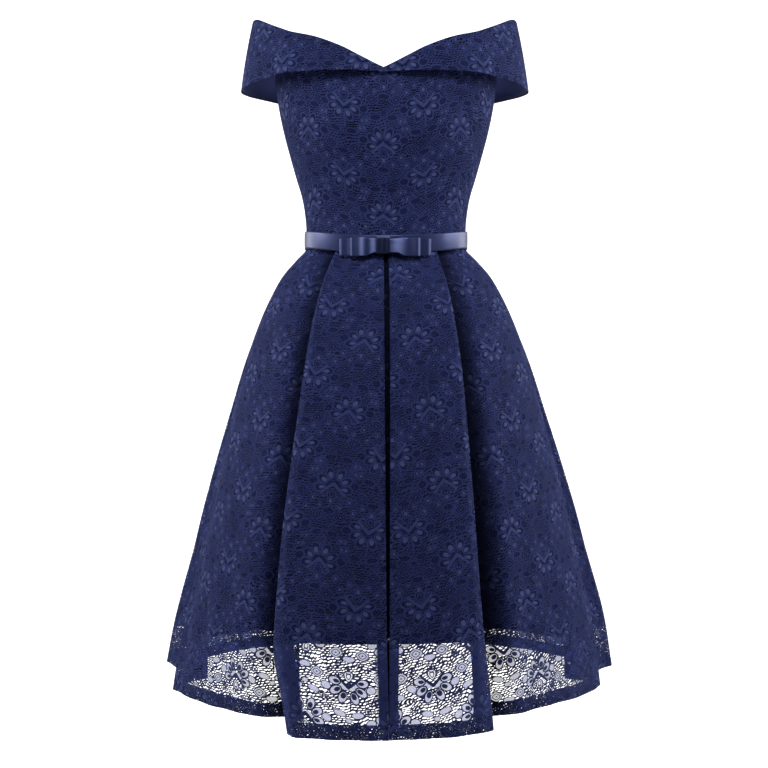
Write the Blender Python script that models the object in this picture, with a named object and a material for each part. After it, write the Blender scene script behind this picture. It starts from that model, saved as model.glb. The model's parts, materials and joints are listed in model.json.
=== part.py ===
"""Off-the-shoulder cocktail dress in lace over a plain lining, hollow and in its worn form.

Units are metres. +Z is up, the front faces -Y and +X is the wearer's left. The origin is the
middle of the waist. Every cloth piece is a thin wall: a path round the body is worked out at
each level, and the wall's two faces are that path moved out and in.
"""
from collections import namedtuple
from math import cos, degrees, hypot, pi, radians, sin

import bmesh
import bpy
from mathutils import Matrix, Vector

MM = 0.001
SEAM_GAP = 0.3 * MM          # between two pieces that are sewn together

# Waist: an ellipse, 64 cm round, whose seam dips at centre front
WAIST_HALF_WIDTH = 0.1150
WAIST_HALF_DEPTH = 0.0870
WAIST_DIP = 0.0123
DIP_SHARPNESS = 1.8

# Cloth
BODICE_WALL = 2.4 * MM       # lace and lining sewn as one
LACE_WALL = 1.2 * MM
LINING_WALL = 1.0 * MM
LINING_GAP = 0.35 * MM       # between the lace and the lining under it
COLLAR_WALL = 1.4 * MM
FACING_WALL = 1.0 * MM
RIBBON_WALL = 1.0 * MM
ZIP_WALL = 1.2 * MM

SKIRT_LENGTH = 0.657         # from the waist's level straight down to the lace hem
CORNER = 0.293               # share of an edge that a rounded corner takes at each end

# Bodice: size of its outer face at each height, and how square its section is
Ring = namedtuple("Ring", "height half_width front_depth back_depth squareness")
BODICE_RINGS = (
    Ring(0.000, 0.1150, 0.0870, 0.0870, 2.00),
    Ring(0.030, 0.1165, 0.0885, 0.0880, 2.05),
    Ring(0.060, 0.1212, 0.0950, 0.0900, 2.10),
    Ring(0.090, 0.1300, 0.1060, 0.0930, 2.15),
    Ring(0.120, 0.1385, 0.1150, 0.0960, 2.25),
    Ring(0.150, 0.1465, 0.1190, 0.0985, 2.40),
    Ring(0.180, 0.1530, 0.1190, 0.1005, 2.60),
    Ring(0.210, 0.1577, 0.1175, 0.1020, 2.80),
    Ring(0.240, 0.1605, 0.1160, 0.1030, 3.00),
    Ring(0.270, 0.1615, 0.1150, 0.1030, 3.00),
)
BUST_HEIGHT = 0.150
BUST_SPREAD = 0.048          # how far the fullness of the bust seams reaches
BUST_SIDE = 0.070            # from centre front to the fullest place
BUST_FULLNESS = 0.006

# Height of the bodice's top edge by direction, from centre front round to centre back
Top = namedtuple("Top", "degrees height")
BODICE_TOP = (
    Top(0, 0.2200), Top(14, 0.2320), Top(28, 0.2450), Top(44, 0.2610), Top(58, 0.2670),
    Top(74, 0.2450), Top(90, 0.2330), Top(108, 0.2330), Top(125, 0.2440), Top(142, 0.2500),
    Top(180, 0.2500),
)
BODICE_STEP = 8.18           # degrees between points, 11 to each quarter
BODICE_LEVELS = 9

# How much of its flare the skirt has at each share of the way from waist to hem
Flare = namedtuple("Flare", "drop spread")
SKIRT_FLARE = (
    Flare(0.000, 0.000), Flare(0.020, 0.006), Flare(0.042, 0.070), Flare(0.078, 0.165),
    Flare(0.120, 0.240), Flare(0.180, 0.325), Flare(0.270, 0.425), Flare(0.380, 0.520),
    Flare(0.500, 0.622), Flare(0.620, 0.718), Flare(0.720, 0.790), Flare(0.820, 0.872),
    Flare(0.910, 0.943), Flare(1.000, 1.000),
)
HIP_DROP, LOW_DROP = 0.27, 0.82
LACE_LEVELS = (0.0, 0.02, 0.042, 0.078, 0.13, 0.20, 0.30, 0.42, 0.56, 0.70, 0.81, 0.92, 1.0)
LINING_LEVELS = (0.0, 0.02, 0.042, 0.078, 0.13, 0.20, 0.30, 0.42, 0.56, 0.70, 0.81)
LINING_FREE_FROM = 0.56      # below here the lining hangs clear of the lace
LINING_HEM_GAP = 2.2 * MM
SKIRT_TOP = 0.0003           # below the waist seam

# Folds of the skirt. One row for each corner of the pleated section, from centre front round
# to centre back: where it starts on the waist ellipse and how many millimetres of folded
# cloth lie over it there, then its place (side, front-to-back) at the hip, low on the skirt
# and at the hem, how far its hem is lifted, and where the lining ends, as shares of the drop.
Fold = namedtuple("Fold", "name degrees under hip low hem lift lining_end points")
PANEL, BEHIND, UNDERLAY = 0.0, 6.0, 8.0
RIGHT_FOLDS = (
    Fold("centre_valley_back", 17.5, UNDERLAY, (0.0200, -0.1420), (0.0105, -0.1840),
         (0.0065, -0.2000), 0.000, 0.820, 2),
    Fold("centre_valley_wall", 17.5, BEHIND, (0.0220, -0.1455), (0.0125, -0.1880),
         (0.0085, -0.2040), 0.000, 0.820, 2),
    Fold("centre_ridge_wall", 1.75, BEHIND, (0.0018, -0.1645), (-0.0010, -0.2515),
         (-0.0024, -0.2808), 0.000, 0.820, 2),
    Fold("centre_ridge_panel", 1.75, PANEL, (0.0028, -0.1705), (-0.0002, -0.2585),
         (-0.0018, -0.2885), 0.000, 0.820, 2),
    Fold("front_panel", 19.8, PANEL, (0.0600, -0.1655), (0.0750, -0.2570),
         (0.0585, -0.2845), 0.000, 0.820, 1),
    Fold("front_ridge_panel", 38.4, PANEL, (0.1045, -0.1545), (0.1360, -0.2400),
         (0.1185, -0.2730), 0.000, 0.820, 2),
    Fold("front_ridge_wall", 38.4, BEHIND, (0.1115, -0.1455), (0.1485, -0.2230),
         (0.1290, -0.2480), 0.000, 0.820, 2),
    Fold("front_valley_wall", 21.2, BEHIND, (0.0870, -0.1190), (0.1150, -0.1590),
         (0.1150, -0.1710), 0.004, 0.820, 2),
    Fold("front_valley_side", 21.2, UNDERLAY, (0.0900, -0.1150), (0.1200, -0.1540),
         (0.1190, -0.1660), 0.004, 0.820, 2),
    Fold("side_front", 50.0, 6.0, (0.1320, -0.1260), (0.1750, -0.1850),
         (0.1745, -0.1810), 0.006, 0.820, 1),
    Fold("side_middle", 64.0, 1.0, (0.1720, -0.0840), (0.2280, -0.1220),
         (0.2290, -0.1300), 0.008, 0.850, 1),
    Fold("side_back", 77.0, PANEL, (0.1970, -0.0330), (0.2720, -0.0500),
         (0.2860, -0.0500), 0.008, 0.875, 1),
    Fold("side_ridge_panel", 88.0, PANEL, (0.2035, 0.0050), (0.2890, 0.0020),
         (0.3110, 0.0050), 0.006, 0.895, 2),
    Fold("side_ridge_wall", 92.0, PANEL, (0.2000, 0.0110), (0.2850, 0.0180),
         (0.3060, 0.0260), 0.008, 0.900, 2),
    Fold("side_valley_front", 96.0, PANEL, (0.1845, 0.0165), (0.2545, 0.0445),
         (0.2670, 0.0550), 0.012, 0.900, 2),
    Fold("side_seam", 98.5, PANEL, (0.1850, 0.0195), (0.2550, 0.0475),
         (0.2680, 0.0580), 0.012, 0.900, 0),
    Fold("side_valley_back", 101.0, PANEL, (0.1855, 0.0225), (0.2555, 0.0505),
         (0.2690, 0.0610), 0.012, 0.900, 2),
    Fold("rear_ridge_side", 110.0, PANEL, (0.2080, 0.0480), (0.3120, 0.1120),
         (0.3400, 0.1420), 0.022, 0.900, 2),
    Fold("rear_ridge_back", 117.0, PANEL, (0.2050, 0.0640), (0.3040, 0.1340),
         (0.3320, 0.1650), 0.020, 0.895, 2),
    Fold("rear_hollow", 127.0, 3.0, (0.1800, 0.0930), (0.2620, 0.1540),
         (0.2830, 0.1800), 0.020, 0.870, 1),
    Fold("rear_wave", 133.0, 7.0, (0.1450, 0.1290), (0.2080, 0.2030),
         (0.2250, 0.2330), 0.026, 0.850, 1),
    Fold("back_valley_side", 158.8, UNDERLAY, (0.0930, 0.1190), (0.1220, 0.1720),
         (0.1220, 0.1830), 0.043, 0.850, 2),
    Fold("back_valley_wall", 158.8, BEHIND, (0.0900, 0.1230), (0.1180, 0.1760),
         (0.1180, 0.1880), 0.043, 0.850, 2),
    Fold("back_ridge_wall", 141.6, BEHIND, (0.1120, 0.1400), (0.1420, 0.2200),
         (0.1400, 0.2470), 0.034, 0.850, 2),
    Fold("back_ridge_panel", 141.6, PANEL, (0.1050, 0.1490), (0.1320, 0.2360),
         (0.1290, 0.2700), 0.032, 0.850, 2),
    Fold("back_panel", 160.0, PANEL, (0.0600, 0.1600), (0.0720, 0.2520),
         (0.0660, 0.2840), 0.032, 0.850, 1),
    Fold("centre_back", 180.0, PANEL, (0.0000, 0.1640), (0.0000, 0.2560),
         (0.0000, 0.2870), 0.033, 0.850, 0),
)
# The left half hangs a little differently: these rows take the place of the right half's
LEFT_CHANGES = (
    Fold("centre_valley_back", 17.5, UNDERLAY, (0.0235, -0.1420), (0.0155, -0.1840),
         (0.0135, -0.2000), 0.000, 0.820, 2),
    Fold("centre_valley_wall", 17.5, BEHIND, (0.0255, -0.1455), (0.0175, -0.1880),
         (0.0155, -0.2040), 0.000, 0.820, 2),
    Fold("centre_ridge_wall", 1.75, BEHIND, (0.0050, -0.1645), (0.0042, -0.2515),
         (0.0036, -0.2808), 0.000, 0.820, 2),
    Fold("centre_ridge_panel", 1.75, PANEL, (0.0060, -0.1705), (0.0050, -0.2585),
         (0.0044, -0.2885), 0.000, 0.820, 2),
    Fold("front_panel", 19.8, PANEL, (0.0580, -0.1655), (0.0700, -0.2540),
         (0.0680, -0.2760), 0.000, 0.820, 1),
    Fold("front_ridge_panel", 38.4, PANEL, (0.0965, -0.1560), (0.1190, -0.2380),
         (0.1230, -0.2560), 0.002, 0.820, 2),
    Fold("front_ridge_wall", 38.4, BEHIND, (0.1030, -0.1475), (0.1290, -0.2230),
         (0.1410, -0.2380), 0.002, 0.820, 2),
    Fold("front_valley_wall", 21.2, BEHIND, (0.0820, -0.1190), (0.1110, -0.1590),
         (0.1180, -0.1710), 0.004, 0.820, 2),
    Fold("front_valley_side", 21.2, UNDERLAY, (0.0850, -0.1150), (0.1160, -0.1540),
         (0.1230, -0.1660), 0.004, 0.820, 2),
    Fold("side_front", 50.0, 6.0, (0.1230, -0.1250), (0.1600, -0.1820),
         (0.1700, -0.1740), 0.008, 0.820, 1),
    Fold("side_middle", 64.0, 1.0, (0.1730, -0.0840), (0.2320, -0.1170),
         (0.2400, -0.1180), 0.012, 0.860, 1),
    Fold("side_back", 77.0, PANEL, (0.1990, -0.0330), (0.2770, -0.0470),
         (0.2900, -0.0450), 0.012, 0.890, 1),
    Fold("side_ridge_panel", 88.0, PANEL, (0.2060, 0.0050), (0.2950, 0.0020),
         (0.3130, 0.0080), 0.012, 0.915, 2),
    Fold("side_ridge_wall", 92.0, PANEL, (0.2025, 0.0110), (0.2910, 0.0180),
         (0.3080, 0.0280), 0.012, 0.915, 2),
    Fold("rear_ridge_side", 110.0, PANEL, (0.2125, 0.0480), (0.3260, 0.1100),
         (0.3500, 0.1330), 0.017, 0.900, 2),
    Fold("rear_ridge_back", 117.0, PANEL, (0.2090, 0.0640), (0.3150, 0.1330),
         (0.3400, 0.1580), 0.017, 0.895, 2),
)

# Collar: one row for each station round one half, from the centre-front notch round the arm
# to centre back: the top fold, the flap's lower edge, and where the facing ends
Band = namedtuple("Band", "fold edge facing")
ON_BODICE, ROUND_ARM = "bodice", "arm"
COLLAR_BANDS = (
    Band((0.0018, -0.1200, 0.2255), (0.0018, -0.1222, 0.2212), ON_BODICE),
    Band((0.0150, -0.1200, 0.2325), (0.0150, -0.1232, 0.2220), ON_BODICE),
    Band((0.0350, -0.1190, 0.2430), (0.0350, -0.1255, 0.2225), ON_BODICE),
    Band((0.0600, -0.1165, 0.2560), (0.0610, -0.1260, 0.2230), ON_BODICE),
    Band((0.0950, -0.1090, 0.2700), (0.0980, -0.1205, 0.2230), ON_BODICE),
    Band((0.1290, -0.0985, 0.2790), (0.1350, -0.1080, 0.2225), ON_BODICE),
    Band((0.1460, -0.0805, 0.2880), (0.1550, -0.0905, 0.2210), ROUND_ARM),
    Band((0.1640, -0.0620, 0.2980), (0.1745, -0.0710, 0.2195), ROUND_ARM),
    Band((0.1840, -0.0320, 0.3110), (0.1970, -0.0370, 0.2175), ROUND_ARM),
    Band((0.1910, 0.0020, 0.3165), (0.2080, 0.0050, 0.2165), ROUND_ARM),
    Band((0.1845, 0.0360, 0.3090), (0.2000, 0.0440, 0.2175), ROUND_ARM),
    Band((0.1650, 0.0640, 0.2930), (0.1770, 0.0750, 0.2170), ROUND_ARM),
    Band((0.1430, 0.0810, 0.2810), (0.1520, 0.0930, 0.2140), ROUND_ARM),
    Band((0.1180, 0.0960, 0.2710), (0.1240, 0.1080, 0.2090), ON_BODICE),
    Band((0.0750, 0.1030, 0.2640), (0.0800, 0.1165, 0.2010), ON_BODICE),
    Band((0.0350, 0.1075, 0.2620), (0.0400, 0.1205, 0.1965), ON_BODICE),
    Band((0.0032, 0.1085, 0.2615), (0.0032, 0.1215, 0.1955), ON_BODICE),
)
COLLAR_SHIFT = -0.0035       # the collar's front sits this far to the wearer's right
COLLAR_HALF_DEPTH = 0.12
ROLL_RADIUS = 1.6 * MM       # middle of the cloth where the collar folds over
ROLL_POINTS = 3
COLLAR_LIP = 4.0 * MM        # how far the lace turns down inside the fold
FACING_CLEAR = 0.8 * MM      # from the facing's edge to the bodice's top
CUFF_CLEAR = 1.3 * MM        # from the lace to the facing at the sleeve's edge

# Belt and bow
BELT_WIDTH = 0.0246
BELT_OFF_WAIST = 1.95 * MM
BELT_STEP = 10               # degrees
BOW_X, KNOT_X = -0.0012, -0.0040
Loop = namedtuple("Loop", "node half_width back_y front_y bulge top bottom pinch wrap")
BOW_LOOPS = (
    Loop("bow_lower", 0.0635, -0.0927, -0.0959, 0.0010, -0.0050, -0.0285, 0.0034, 2.2),
    Loop("bow_upper", 0.0485, -0.0981, -0.1015, 0.0045, -0.0046, -0.0300, 0.0049, 1.8),
)
# Stations along a loop as shares of its half width: at the knot the ribbon is pinched narrow
LOOP_SHARES = (-1.0, -0.75, -0.5, -0.3, 0.3, 0.5, 0.75, 1.0)
PINCHED, FULL = 0.3, 0.6
KNOT_HALF_WIDTH = 0.0094
KNOT_BACK, KNOT_FRONT = -0.0903, -0.1031
KNOT_CORNER = 0.12           # share of its depth that a rounded corner takes
KNOT_TOP, KNOT_BOTTOM = -0.0026, -0.0272

# Zip at centre back
ZIP_TAPE_WIDTH = 0.008
ZIP_BEHIND_LINING = 1.0 * MM
ZIP_DROP = 0.26              # share of the skirt's drop that the zip opens
HINGE_HEIGHT = 0.2360
HINGE_OUT = 3.1 * MM         # from the slider's back to the hinge's axis
SLIDER_SIZE = (5.6 * MM, 1.6 * MM, 9.0 * MM)
LUG_SIZE = (0.9 * MM, 2.9 * MM, 3.0 * MM)
LUG_SPREAD = 2.0 * MM        # from the middle of the slider to the middle of a lug
LUG_OUT = 1.0 * MM           # how far a lug reaches past the hinge's axis
PIN_RADIUS = 0.4 * MM
EYE_RADIUS, EYE_HOLE = 1.15 * MM, 0.75 * MM
PULL_EYE_WIDTH, PULL_WIDTH = 2.4 * MM, 3.6 * MM
PULL_THICKNESS = 0.8 * MM
PULL_NECK, PULL_LENGTH = 4.0 * MM, 19.0 * MM

# name: red, green, blue, roughness, metallic
COLOURS = {
    "lace": (0.030, 0.040, 0.130, 0.80, 0.0),
    "collar_lace": (0.038, 0.048, 0.145, 0.80, 0.0),
    "lining": (0.012, 0.015, 0.075, 0.62, 0.0),
    "satin": (0.045, 0.055, 0.165, 0.32, 0.0),
    "zip": (0.015, 0.018, 0.070, 0.55, 0.0),
    "zip_metal": (0.020, 0.024, 0.090, 0.40, 0.6),
}


def clear_scene():
    for obj in list(bpy.data.objects):
        bpy.data.objects.remove(obj, do_unlink=True)


def material(name):
    """The material of that name, made the first time it is asked for."""
    if name in bpy.data.materials:
        return bpy.data.materials[name]
    red, green, blue, roughness, metallic = COLOURS[name]
    made = bpy.data.materials.new(name)
    made.use_nodes = True
    shader = made.node_tree.nodes["Principled BSDF"]
    shader.inputs["Base Color"].default_value = (red, green, blue, 1.0)
    shader.inputs["Roughness"].default_value = roughness
    shader.inputs["Metallic"].default_value = metallic
    return made


def add_object(name, mesh, material_name, smooth_degrees=40):
    mesh.materials.append(material(material_name))
    mesh.shade_smooth()
    mesh.set_sharp_from_angle(angle=radians(smooth_degrees))
    obj = bpy.data.objects.new(name, mesh)
    bpy.context.scene.collection.objects.link(obj)
    return obj


def smooth_value(stations, values, at):
    """The value there on a smooth curve through the values at the rising stations."""
    at = min(max(at, stations[0]), stations[-1])
    last = len(stations) - 1
    k = max(i for i in range(last) if stations[i] <= at)

    def slope(i):
        low, high = max(i - 1, 0), min(i + 1, last)
        return (values[high] - values[low]) / (stations[high] - stations[low])

    span = stations[k + 1] - stations[k]
    s = (at - stations[k]) / span
    rise = values[k + 1] - values[k]
    start, end = slope(k) * span, slope(k + 1) * span
    return values[k] + s * (start + s * (3 * rise - 2 * start - end + s * (start + end - 2 * rise)))


def waist_height(angle):
    """Height of the waist seam, with the angle in degrees from centre front."""
    return -WAIST_DIP * max(cos(radians(angle)), 0.0) ** DIP_SHARPNESS


def waist_point(angle, under, inset=0.0):
    """A point of the waist ellipse, moved in by the cloth that lies over it."""
    across, along = sin(radians(angle)), -cos(radians(angle))
    normal = Vector((across / WAIST_HALF_WIDTH, along / WAIST_HALF_DEPTH)).normalized()
    point = Vector((WAIST_HALF_WIDTH * across, WAIST_HALF_DEPTH * along))
    return point - normal * (under + inset)


def rounded(points, counts, corner=CORNER):
    """The path with its corners cut round: counts gives the points that replace each one."""
    path = []
    for i, (point, count) in enumerate(zip(points, counts)):
        if count < 2 or i in (0, len(points) - 1):
            path.append(point)
            continue
        before, after = points[i - 1] - point, points[i + 1] - point
        trim = corner * min(before.length, after.length)
        start, end = point + before.normalized() * trim, point + after.normalized() * trim
        for j in range(count):
            s = j / (count - 1)
            path.append(start * (1 - s) ** 2 + point * 2 * s * (1 - s) + end * s * s)
    return path


def moved_out(path, distance, ends=(None, None)):
    """The path with each point moved level to the right of its travel, corners kept sharp.

    ends gives the level directions in which the two ends move, where a seam settles them.
    """
    sides = []
    for a, b in zip(path, path[1:]):
        along = Vector((b.x - a.x, b.y - a.y))
        sides.append(Vector((along.y, -along.x)).normalized())
    settled = {0: ends[0], len(path) - 1: ends[1]}
    moved = []
    for i, point in enumerate(path):
        first, second = sides[max(i - 1, 0)], sides[min(i, len(sides) - 1)]
        middle = settled.get(i) or (first + second).normalized()
        step = middle * (distance / max(middle.dot(first), 0.5))
        moved.append(point + Vector((step.x, step.y, 0.0)))
    return moved


def rounded_ring(points, counts, corner=CORNER):
    """As rounded, for a closed ring."""
    return rounded([points[-1]] + points + [points[0]], [0] + counts + [0], corner)[1:-1]


def ring_moved_out(ring, distance):
    """As moved_out, for a closed ring."""
    return moved_out([ring[-1]] + ring + [ring[0]], distance)[1:-1]


def ends_pulled_in(path, distance):
    """The path made shorter at both ends, to leave a seam's gap."""
    path = list(path)
    path[0] = path[0] + (path[1] - path[0]).normalized() * distance
    path[-1] = path[-1] + (path[-2] - path[-1]).normalized() * distance
    return path


def wall_mesh(name, outer, inner, loop=False, mirrored=False):
    """A closed wall between two grids of points, each a list of rows of the same length.

    mirrored slants the faces' diagonals the other way, as on the piece's mirror image.
    """
    mesh = bpy.data.meshes.new(name)
    bm = bmesh.new()
    faces = [[[bm.verts.new(point) for point in row] for row in grid] for grid in (outer, inner)]
    across = len(outer[0])
    steps = [(i, (i + 1) % across) for i in range(across if loop else across - 1)]
    near, far = faces

    def strip(first, second, pairs):
        for i, j in pairs:
            i, j = (j, i) if mirrored else (i, j)
            bm.faces.new((first[i], first[j], second[j]))
            bm.faces.new((first[i], second[j], second[i]))

    for grid in faces:
        for low, high in zip(grid, grid[1:]):
            strip(low, high, steps)
    for row in (0, -1):
        strip(near[row], far[row], steps)
    if not loop:
        for column in (0, -1):
            levels = range(len(outer) - 1)
            strip([row[column] for row in near], [row[column] for row in far],
                  [(k, k + 1) for k in levels])
    bmesh.ops.recalc_face_normals(bm, faces=bm.faces)
    bm.to_mesh(mesh)
    bm.free()
    return mesh


# ---------------------------------------------------------------- bodice

def bodice_size(height):
    heights = [ring.height for ring in BODICE_RINGS]
    return [smooth_value(heights, [ring[k] for ring in BODICE_RINGS], height) for k in range(1, 5)]


def bodice_point(angle, height):
    """A point of the bodice's outer face, with the angle in degrees from centre front."""
    half_width, front, back, squareness = bodice_size(height)
    across, along = sin(radians(angle)), -cos(radians(angle))
    depth = front if along < 0 else back
    reach = (abs(across / half_width) ** squareness
             + abs(along / depth) ** squareness) ** (-1 / squareness)
    x, y = across * reach, along * reach
    if along < 0:
        off = hypot(abs(x) - BUST_SIDE, height - BUST_HEIGHT) / BUST_SPREAD
        y -= BUST_FULLNESS * max(1 - off * off, 0.0) ** 2
    return Vector((x, y, height))


def bodice_top(angle):
    return smooth_value([top.degrees for top in BODICE_TOP], [top.height for top in BODICE_TOP],
                        abs(angle))


def bodice_panel(name, first, last):
    """One piece of the bodice, from one angle to another."""
    count = round((last - first) / BODICE_STEP)
    angles = [first + (last - first) * i / count for i in range(count + 1)]
    ends = [Vector((sin(radians(angle)), -cos(radians(angle)))) for angle in (first, last)]
    outer, inner = [], []
    for level in range(BODICE_LEVELS + 1):
        share = level / BODICE_LEVELS
        path = []
        for angle in angles:
            low, high = waist_height(angle), bodice_top(angle)
            path.append(bodice_point(angle, low + (high - low) * share))
        outer.append(ends_pulled_in(path, SEAM_GAP / 2))
        inner.append(ends_pulled_in(moved_out(path, -BODICE_WALL, ends), SEAM_GAP / 2))
    add_object(name, wall_mesh(name, outer, inner), "lace")


def make_bodice():
    bodice_panel("bodice_back_right", -180, -90)
    bodice_panel("bodice_front", -90, 90)
    bodice_panel("bodice_back_left", 90, 180)


# ---------------------------------------------------------------- skirt

def fold_place(fold, side, drop):
    """Where that corner of the pleats is, at that share of the way down the skirt.

    Between the lace's own levels it is on the straight line that the lace's faces follow.
    """
    above = max(level for level in LACE_LEVELS[:-1] if level <= drop)
    below = min(level for level in LACE_LEVELS if level > above)
    share = (drop - above) / (below - above)
    return fold_on_level(fold, side, above).lerp(fold_on_level(fold, side, below), share)


def fold_on_level(fold, side, drop):
    flare_at = [row.drop for row in SKIRT_FLARE]
    spreads = [row.spread for row in SKIRT_FLARE]

    def spread(at):
        return smooth_value(flare_at, spreads, at)

    stations = (0.0, spread(HIP_DROP), spread(LOW_DROP), 1.0)
    waist = waist_point(fold.degrees, fold.under * MM, LACE_WALL / 2)
    places = (waist, fold.hip, fold.low, fold.hem)
    x, y = (smooth_value(stations, [place[k] for place in places], spread(drop)) for k in (0, 1))
    top = waist_height(fold.degrees) - SKIRT_TOP
    return Vector((side * x, y, top + (fold.lift - SKIRT_LENGTH - top) * drop))


def skirt_rows():
    """The folds of the whole skirt with their sides, from centre back round and back again."""
    changes = {fold.name: fold for fold in LEFT_CHANGES}
    right = [(fold, -1) for fold in reversed(RIGHT_FOLDS)]
    left = [(changes.get(fold.name, fold), 1) for fold in RIGHT_FOLDS]
    return right + left


def skirt_pieces():
    """The rows of each piece: right back, front and left back, cut at the side seams."""
    rows = skirt_rows()
    seams = [i for i, (fold, _) in enumerate(rows) if fold.name == "side_seam"]
    bounds = [0] + seams + [len(rows) - 1]
    return [rows[a:b + 1] for a, b in zip(bounds, bounds[1:])]


def skirt_face(rows, levels, distances):
    """A face of the skirt, moved out from the middle of the lace by a distance at each level.

    levels gives, for each row of the face, the drop at which every fold meets it.
    """
    backwards = Vector((0.0, 1.0))
    ends = [backwards if rows[k][0].name == "centre_back" else None for k in (0, -1)]
    face = []
    for drops, distance in zip(levels, distances):
        points = [fold_place(fold, side, drop) for (fold, side), drop in zip(rows, drops)]
        path = rounded(points, [fold.points for fold, _ in rows])
        face.append(ends_pulled_in(moved_out(path, distance, ends), SEAM_GAP / 2))
    return face


def skirt_lace(name, rows):
    levels = [[drop] * len(rows) for drop in LACE_LEVELS]
    faces = [skirt_face(rows, levels, [side * LACE_WALL / 2] * len(levels)) for side in (1, -1)]
    add_object(name, wall_mesh(name, *faces, mirrored=name.endswith("right")), "lace")


def skirt_lining(name, rows):
    """The lining hangs inside the same folds and ends higher up."""
    levels = [[drop] * len(rows) for drop in LINING_LEVELS]
    levels.append([fold.lining_end for fold, _ in rows])
    near = []
    for drops in levels:
        free = max(sum(drops) / len(drops) - LINING_FREE_FROM, 0.0) / (1 - LINING_FREE_FROM)
        near.append(-LACE_WALL / 2 - LINING_GAP - (LINING_HEM_GAP - LINING_GAP) * free)
    far = [distance - LINING_WALL for distance in near]
    faces = [skirt_face(rows, levels, distances) for distances in (near, far)]
    add_object(name, wall_mesh(name, *faces, mirrored=name.endswith("right")), "lining")


def make_skirt():
    for ending, rows in zip(("back_right", "front", "back_left"), skirt_pieces()):
        skirt_lace("skirt_" + ending, rows)
        skirt_lining("lining_" + ending, rows)


# ---------------------------------------------------------------- collar

def collar_frame(bands, side, k):
    """The fold, the flap's edge and the level direction inwards at one station."""
    def place(point):
        shift = COLLAR_SHIFT * min(max(0.5 - point[1] / (2 * COLLAR_HALF_DEPTH), 0.0), 1.0)
        return Vector((side * point[0] + shift, point[1], point[2]))

    before, after = bands[max(k - 1, 0)].fold, bands[min(k + 1, len(bands) - 1)].fold
    along = place(after) - place(before)
    inwards = Vector((-along.y, along.x, 0.0)).normalized() * side
    return place(bands[k].fold), place(bands[k].edge), inwards


def section_moved(points, distance):
    """A section's points, as (in, up) pairs, moved to the right of their travel."""
    flat = [Vector((x, z, 0.0)) for x, z in points]
    return [(point.x, point.y) for point in moved_out(flat, distance)]


def collar_section(fold, edge, inwards):
    """The flap from its edge up to the fold, over the roll and down inside it."""
    out, up = (edge - fold).dot(inwards), edge.z - fold.z
    section = [(out, up), (out / 2, up / 2), (0.0, 0.0)]
    for i in range(1, ROLL_POINTS + 1):
        angle = pi * i / ROLL_POINTS
        section.append((ROLL_RADIUS * (1 - cos(angle)), ROLL_RADIUS * sin(angle)))
    lip = min(COLLAR_LIP, -up / 3)
    section.append((2 * ROLL_RADIUS, -lip))
    return section


def facing_section(fold, edge, inwards, facing, lip):
    """The facing, from under the turned lace down to the bodice or the sleeve's edge."""
    start = (2 * ROLL_RADIUS, -lip - SEAM_GAP)
    if facing == ROUND_ARM:
        out, up = (edge - fold).dot(inwards), edge.z - fold.z
        clear = COLLAR_WALL / 2 + CUFF_CLEAR + FACING_WALL / 2
        end = (out + clear, up + 1.5 * MM)
    else:
        middle = fold + inwards * 2 * ROLL_RADIUS
        angle = degrees(Vector((0, -1)).angle(Vector((middle.x, middle.y))))
        end = (2 * ROLL_RADIUS, min(bodice_top(angle) + FACING_CLEAR - fold.z, start[1] - MM))
    return [start, ((start[0] + end[0]) / 2, (start[1] + end[1]) / 2), end]


def collar_grids(section_of, wall, side):
    """The two faces of a collar piece, from its middle section at each station."""
    outer, inner = [], []
    for k, band in enumerate(COLLAR_BANDS):
        fold, edge, inwards = collar_frame(COLLAR_BANDS, side, k)
        middle = section_of(fold, edge, inwards, band)
        for grid, distance in ((outer, -wall / 2), (inner, wall / 2)):
            grid.append([fold + inwards * a + Vector((0.0, 0.0, b))
                         for a, b in section_moved(middle, distance)])
    return outer, inner


def make_collar():
    for name, side in (("right", -1), ("left", 1)):
        def flap(fold, edge, inwards, band):
            return collar_section(fold, edge, inwards)

        def facing(fold, edge, inwards, band):
            lip = -collar_section(fold, edge, inwards)[-1][1]
            return facing_section(fold, edge, inwards, band.facing, lip)

        node = "collar_" + name
        add_object(node, wall_mesh(node, *collar_grids(flap, COLLAR_WALL, side)), "collar_lace")
        node = "collar_facing_" + name
        add_object(node, wall_mesh(node, *collar_grids(facing, FACING_WALL, side)), "lining")


# ---------------------------------------------------------------- belt and bow

def make_belt():
    """The ribbon round the waist, with its ends meeting at centre back."""
    outer, inner = [], []
    for up in (-0.5, 0.0, 0.5):
        path = []
        for step in range(360 // BELT_STEP + 1):
            angle = step * BELT_STEP - 180
            level = waist_point(angle, 0.0, -BELT_OFF_WAIST)
            path.append(Vector((level.x, level.y, waist_height(angle) + up * BELT_WIDTH)))
        path = ends_pulled_in(path, SEAM_GAP)
        outer.append(moved_out(path, RIBBON_WALL))
        inner.append(path)
    add_object("belt_ribbon", wall_mesh("belt_ribbon", outer, inner), "satin")


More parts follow.
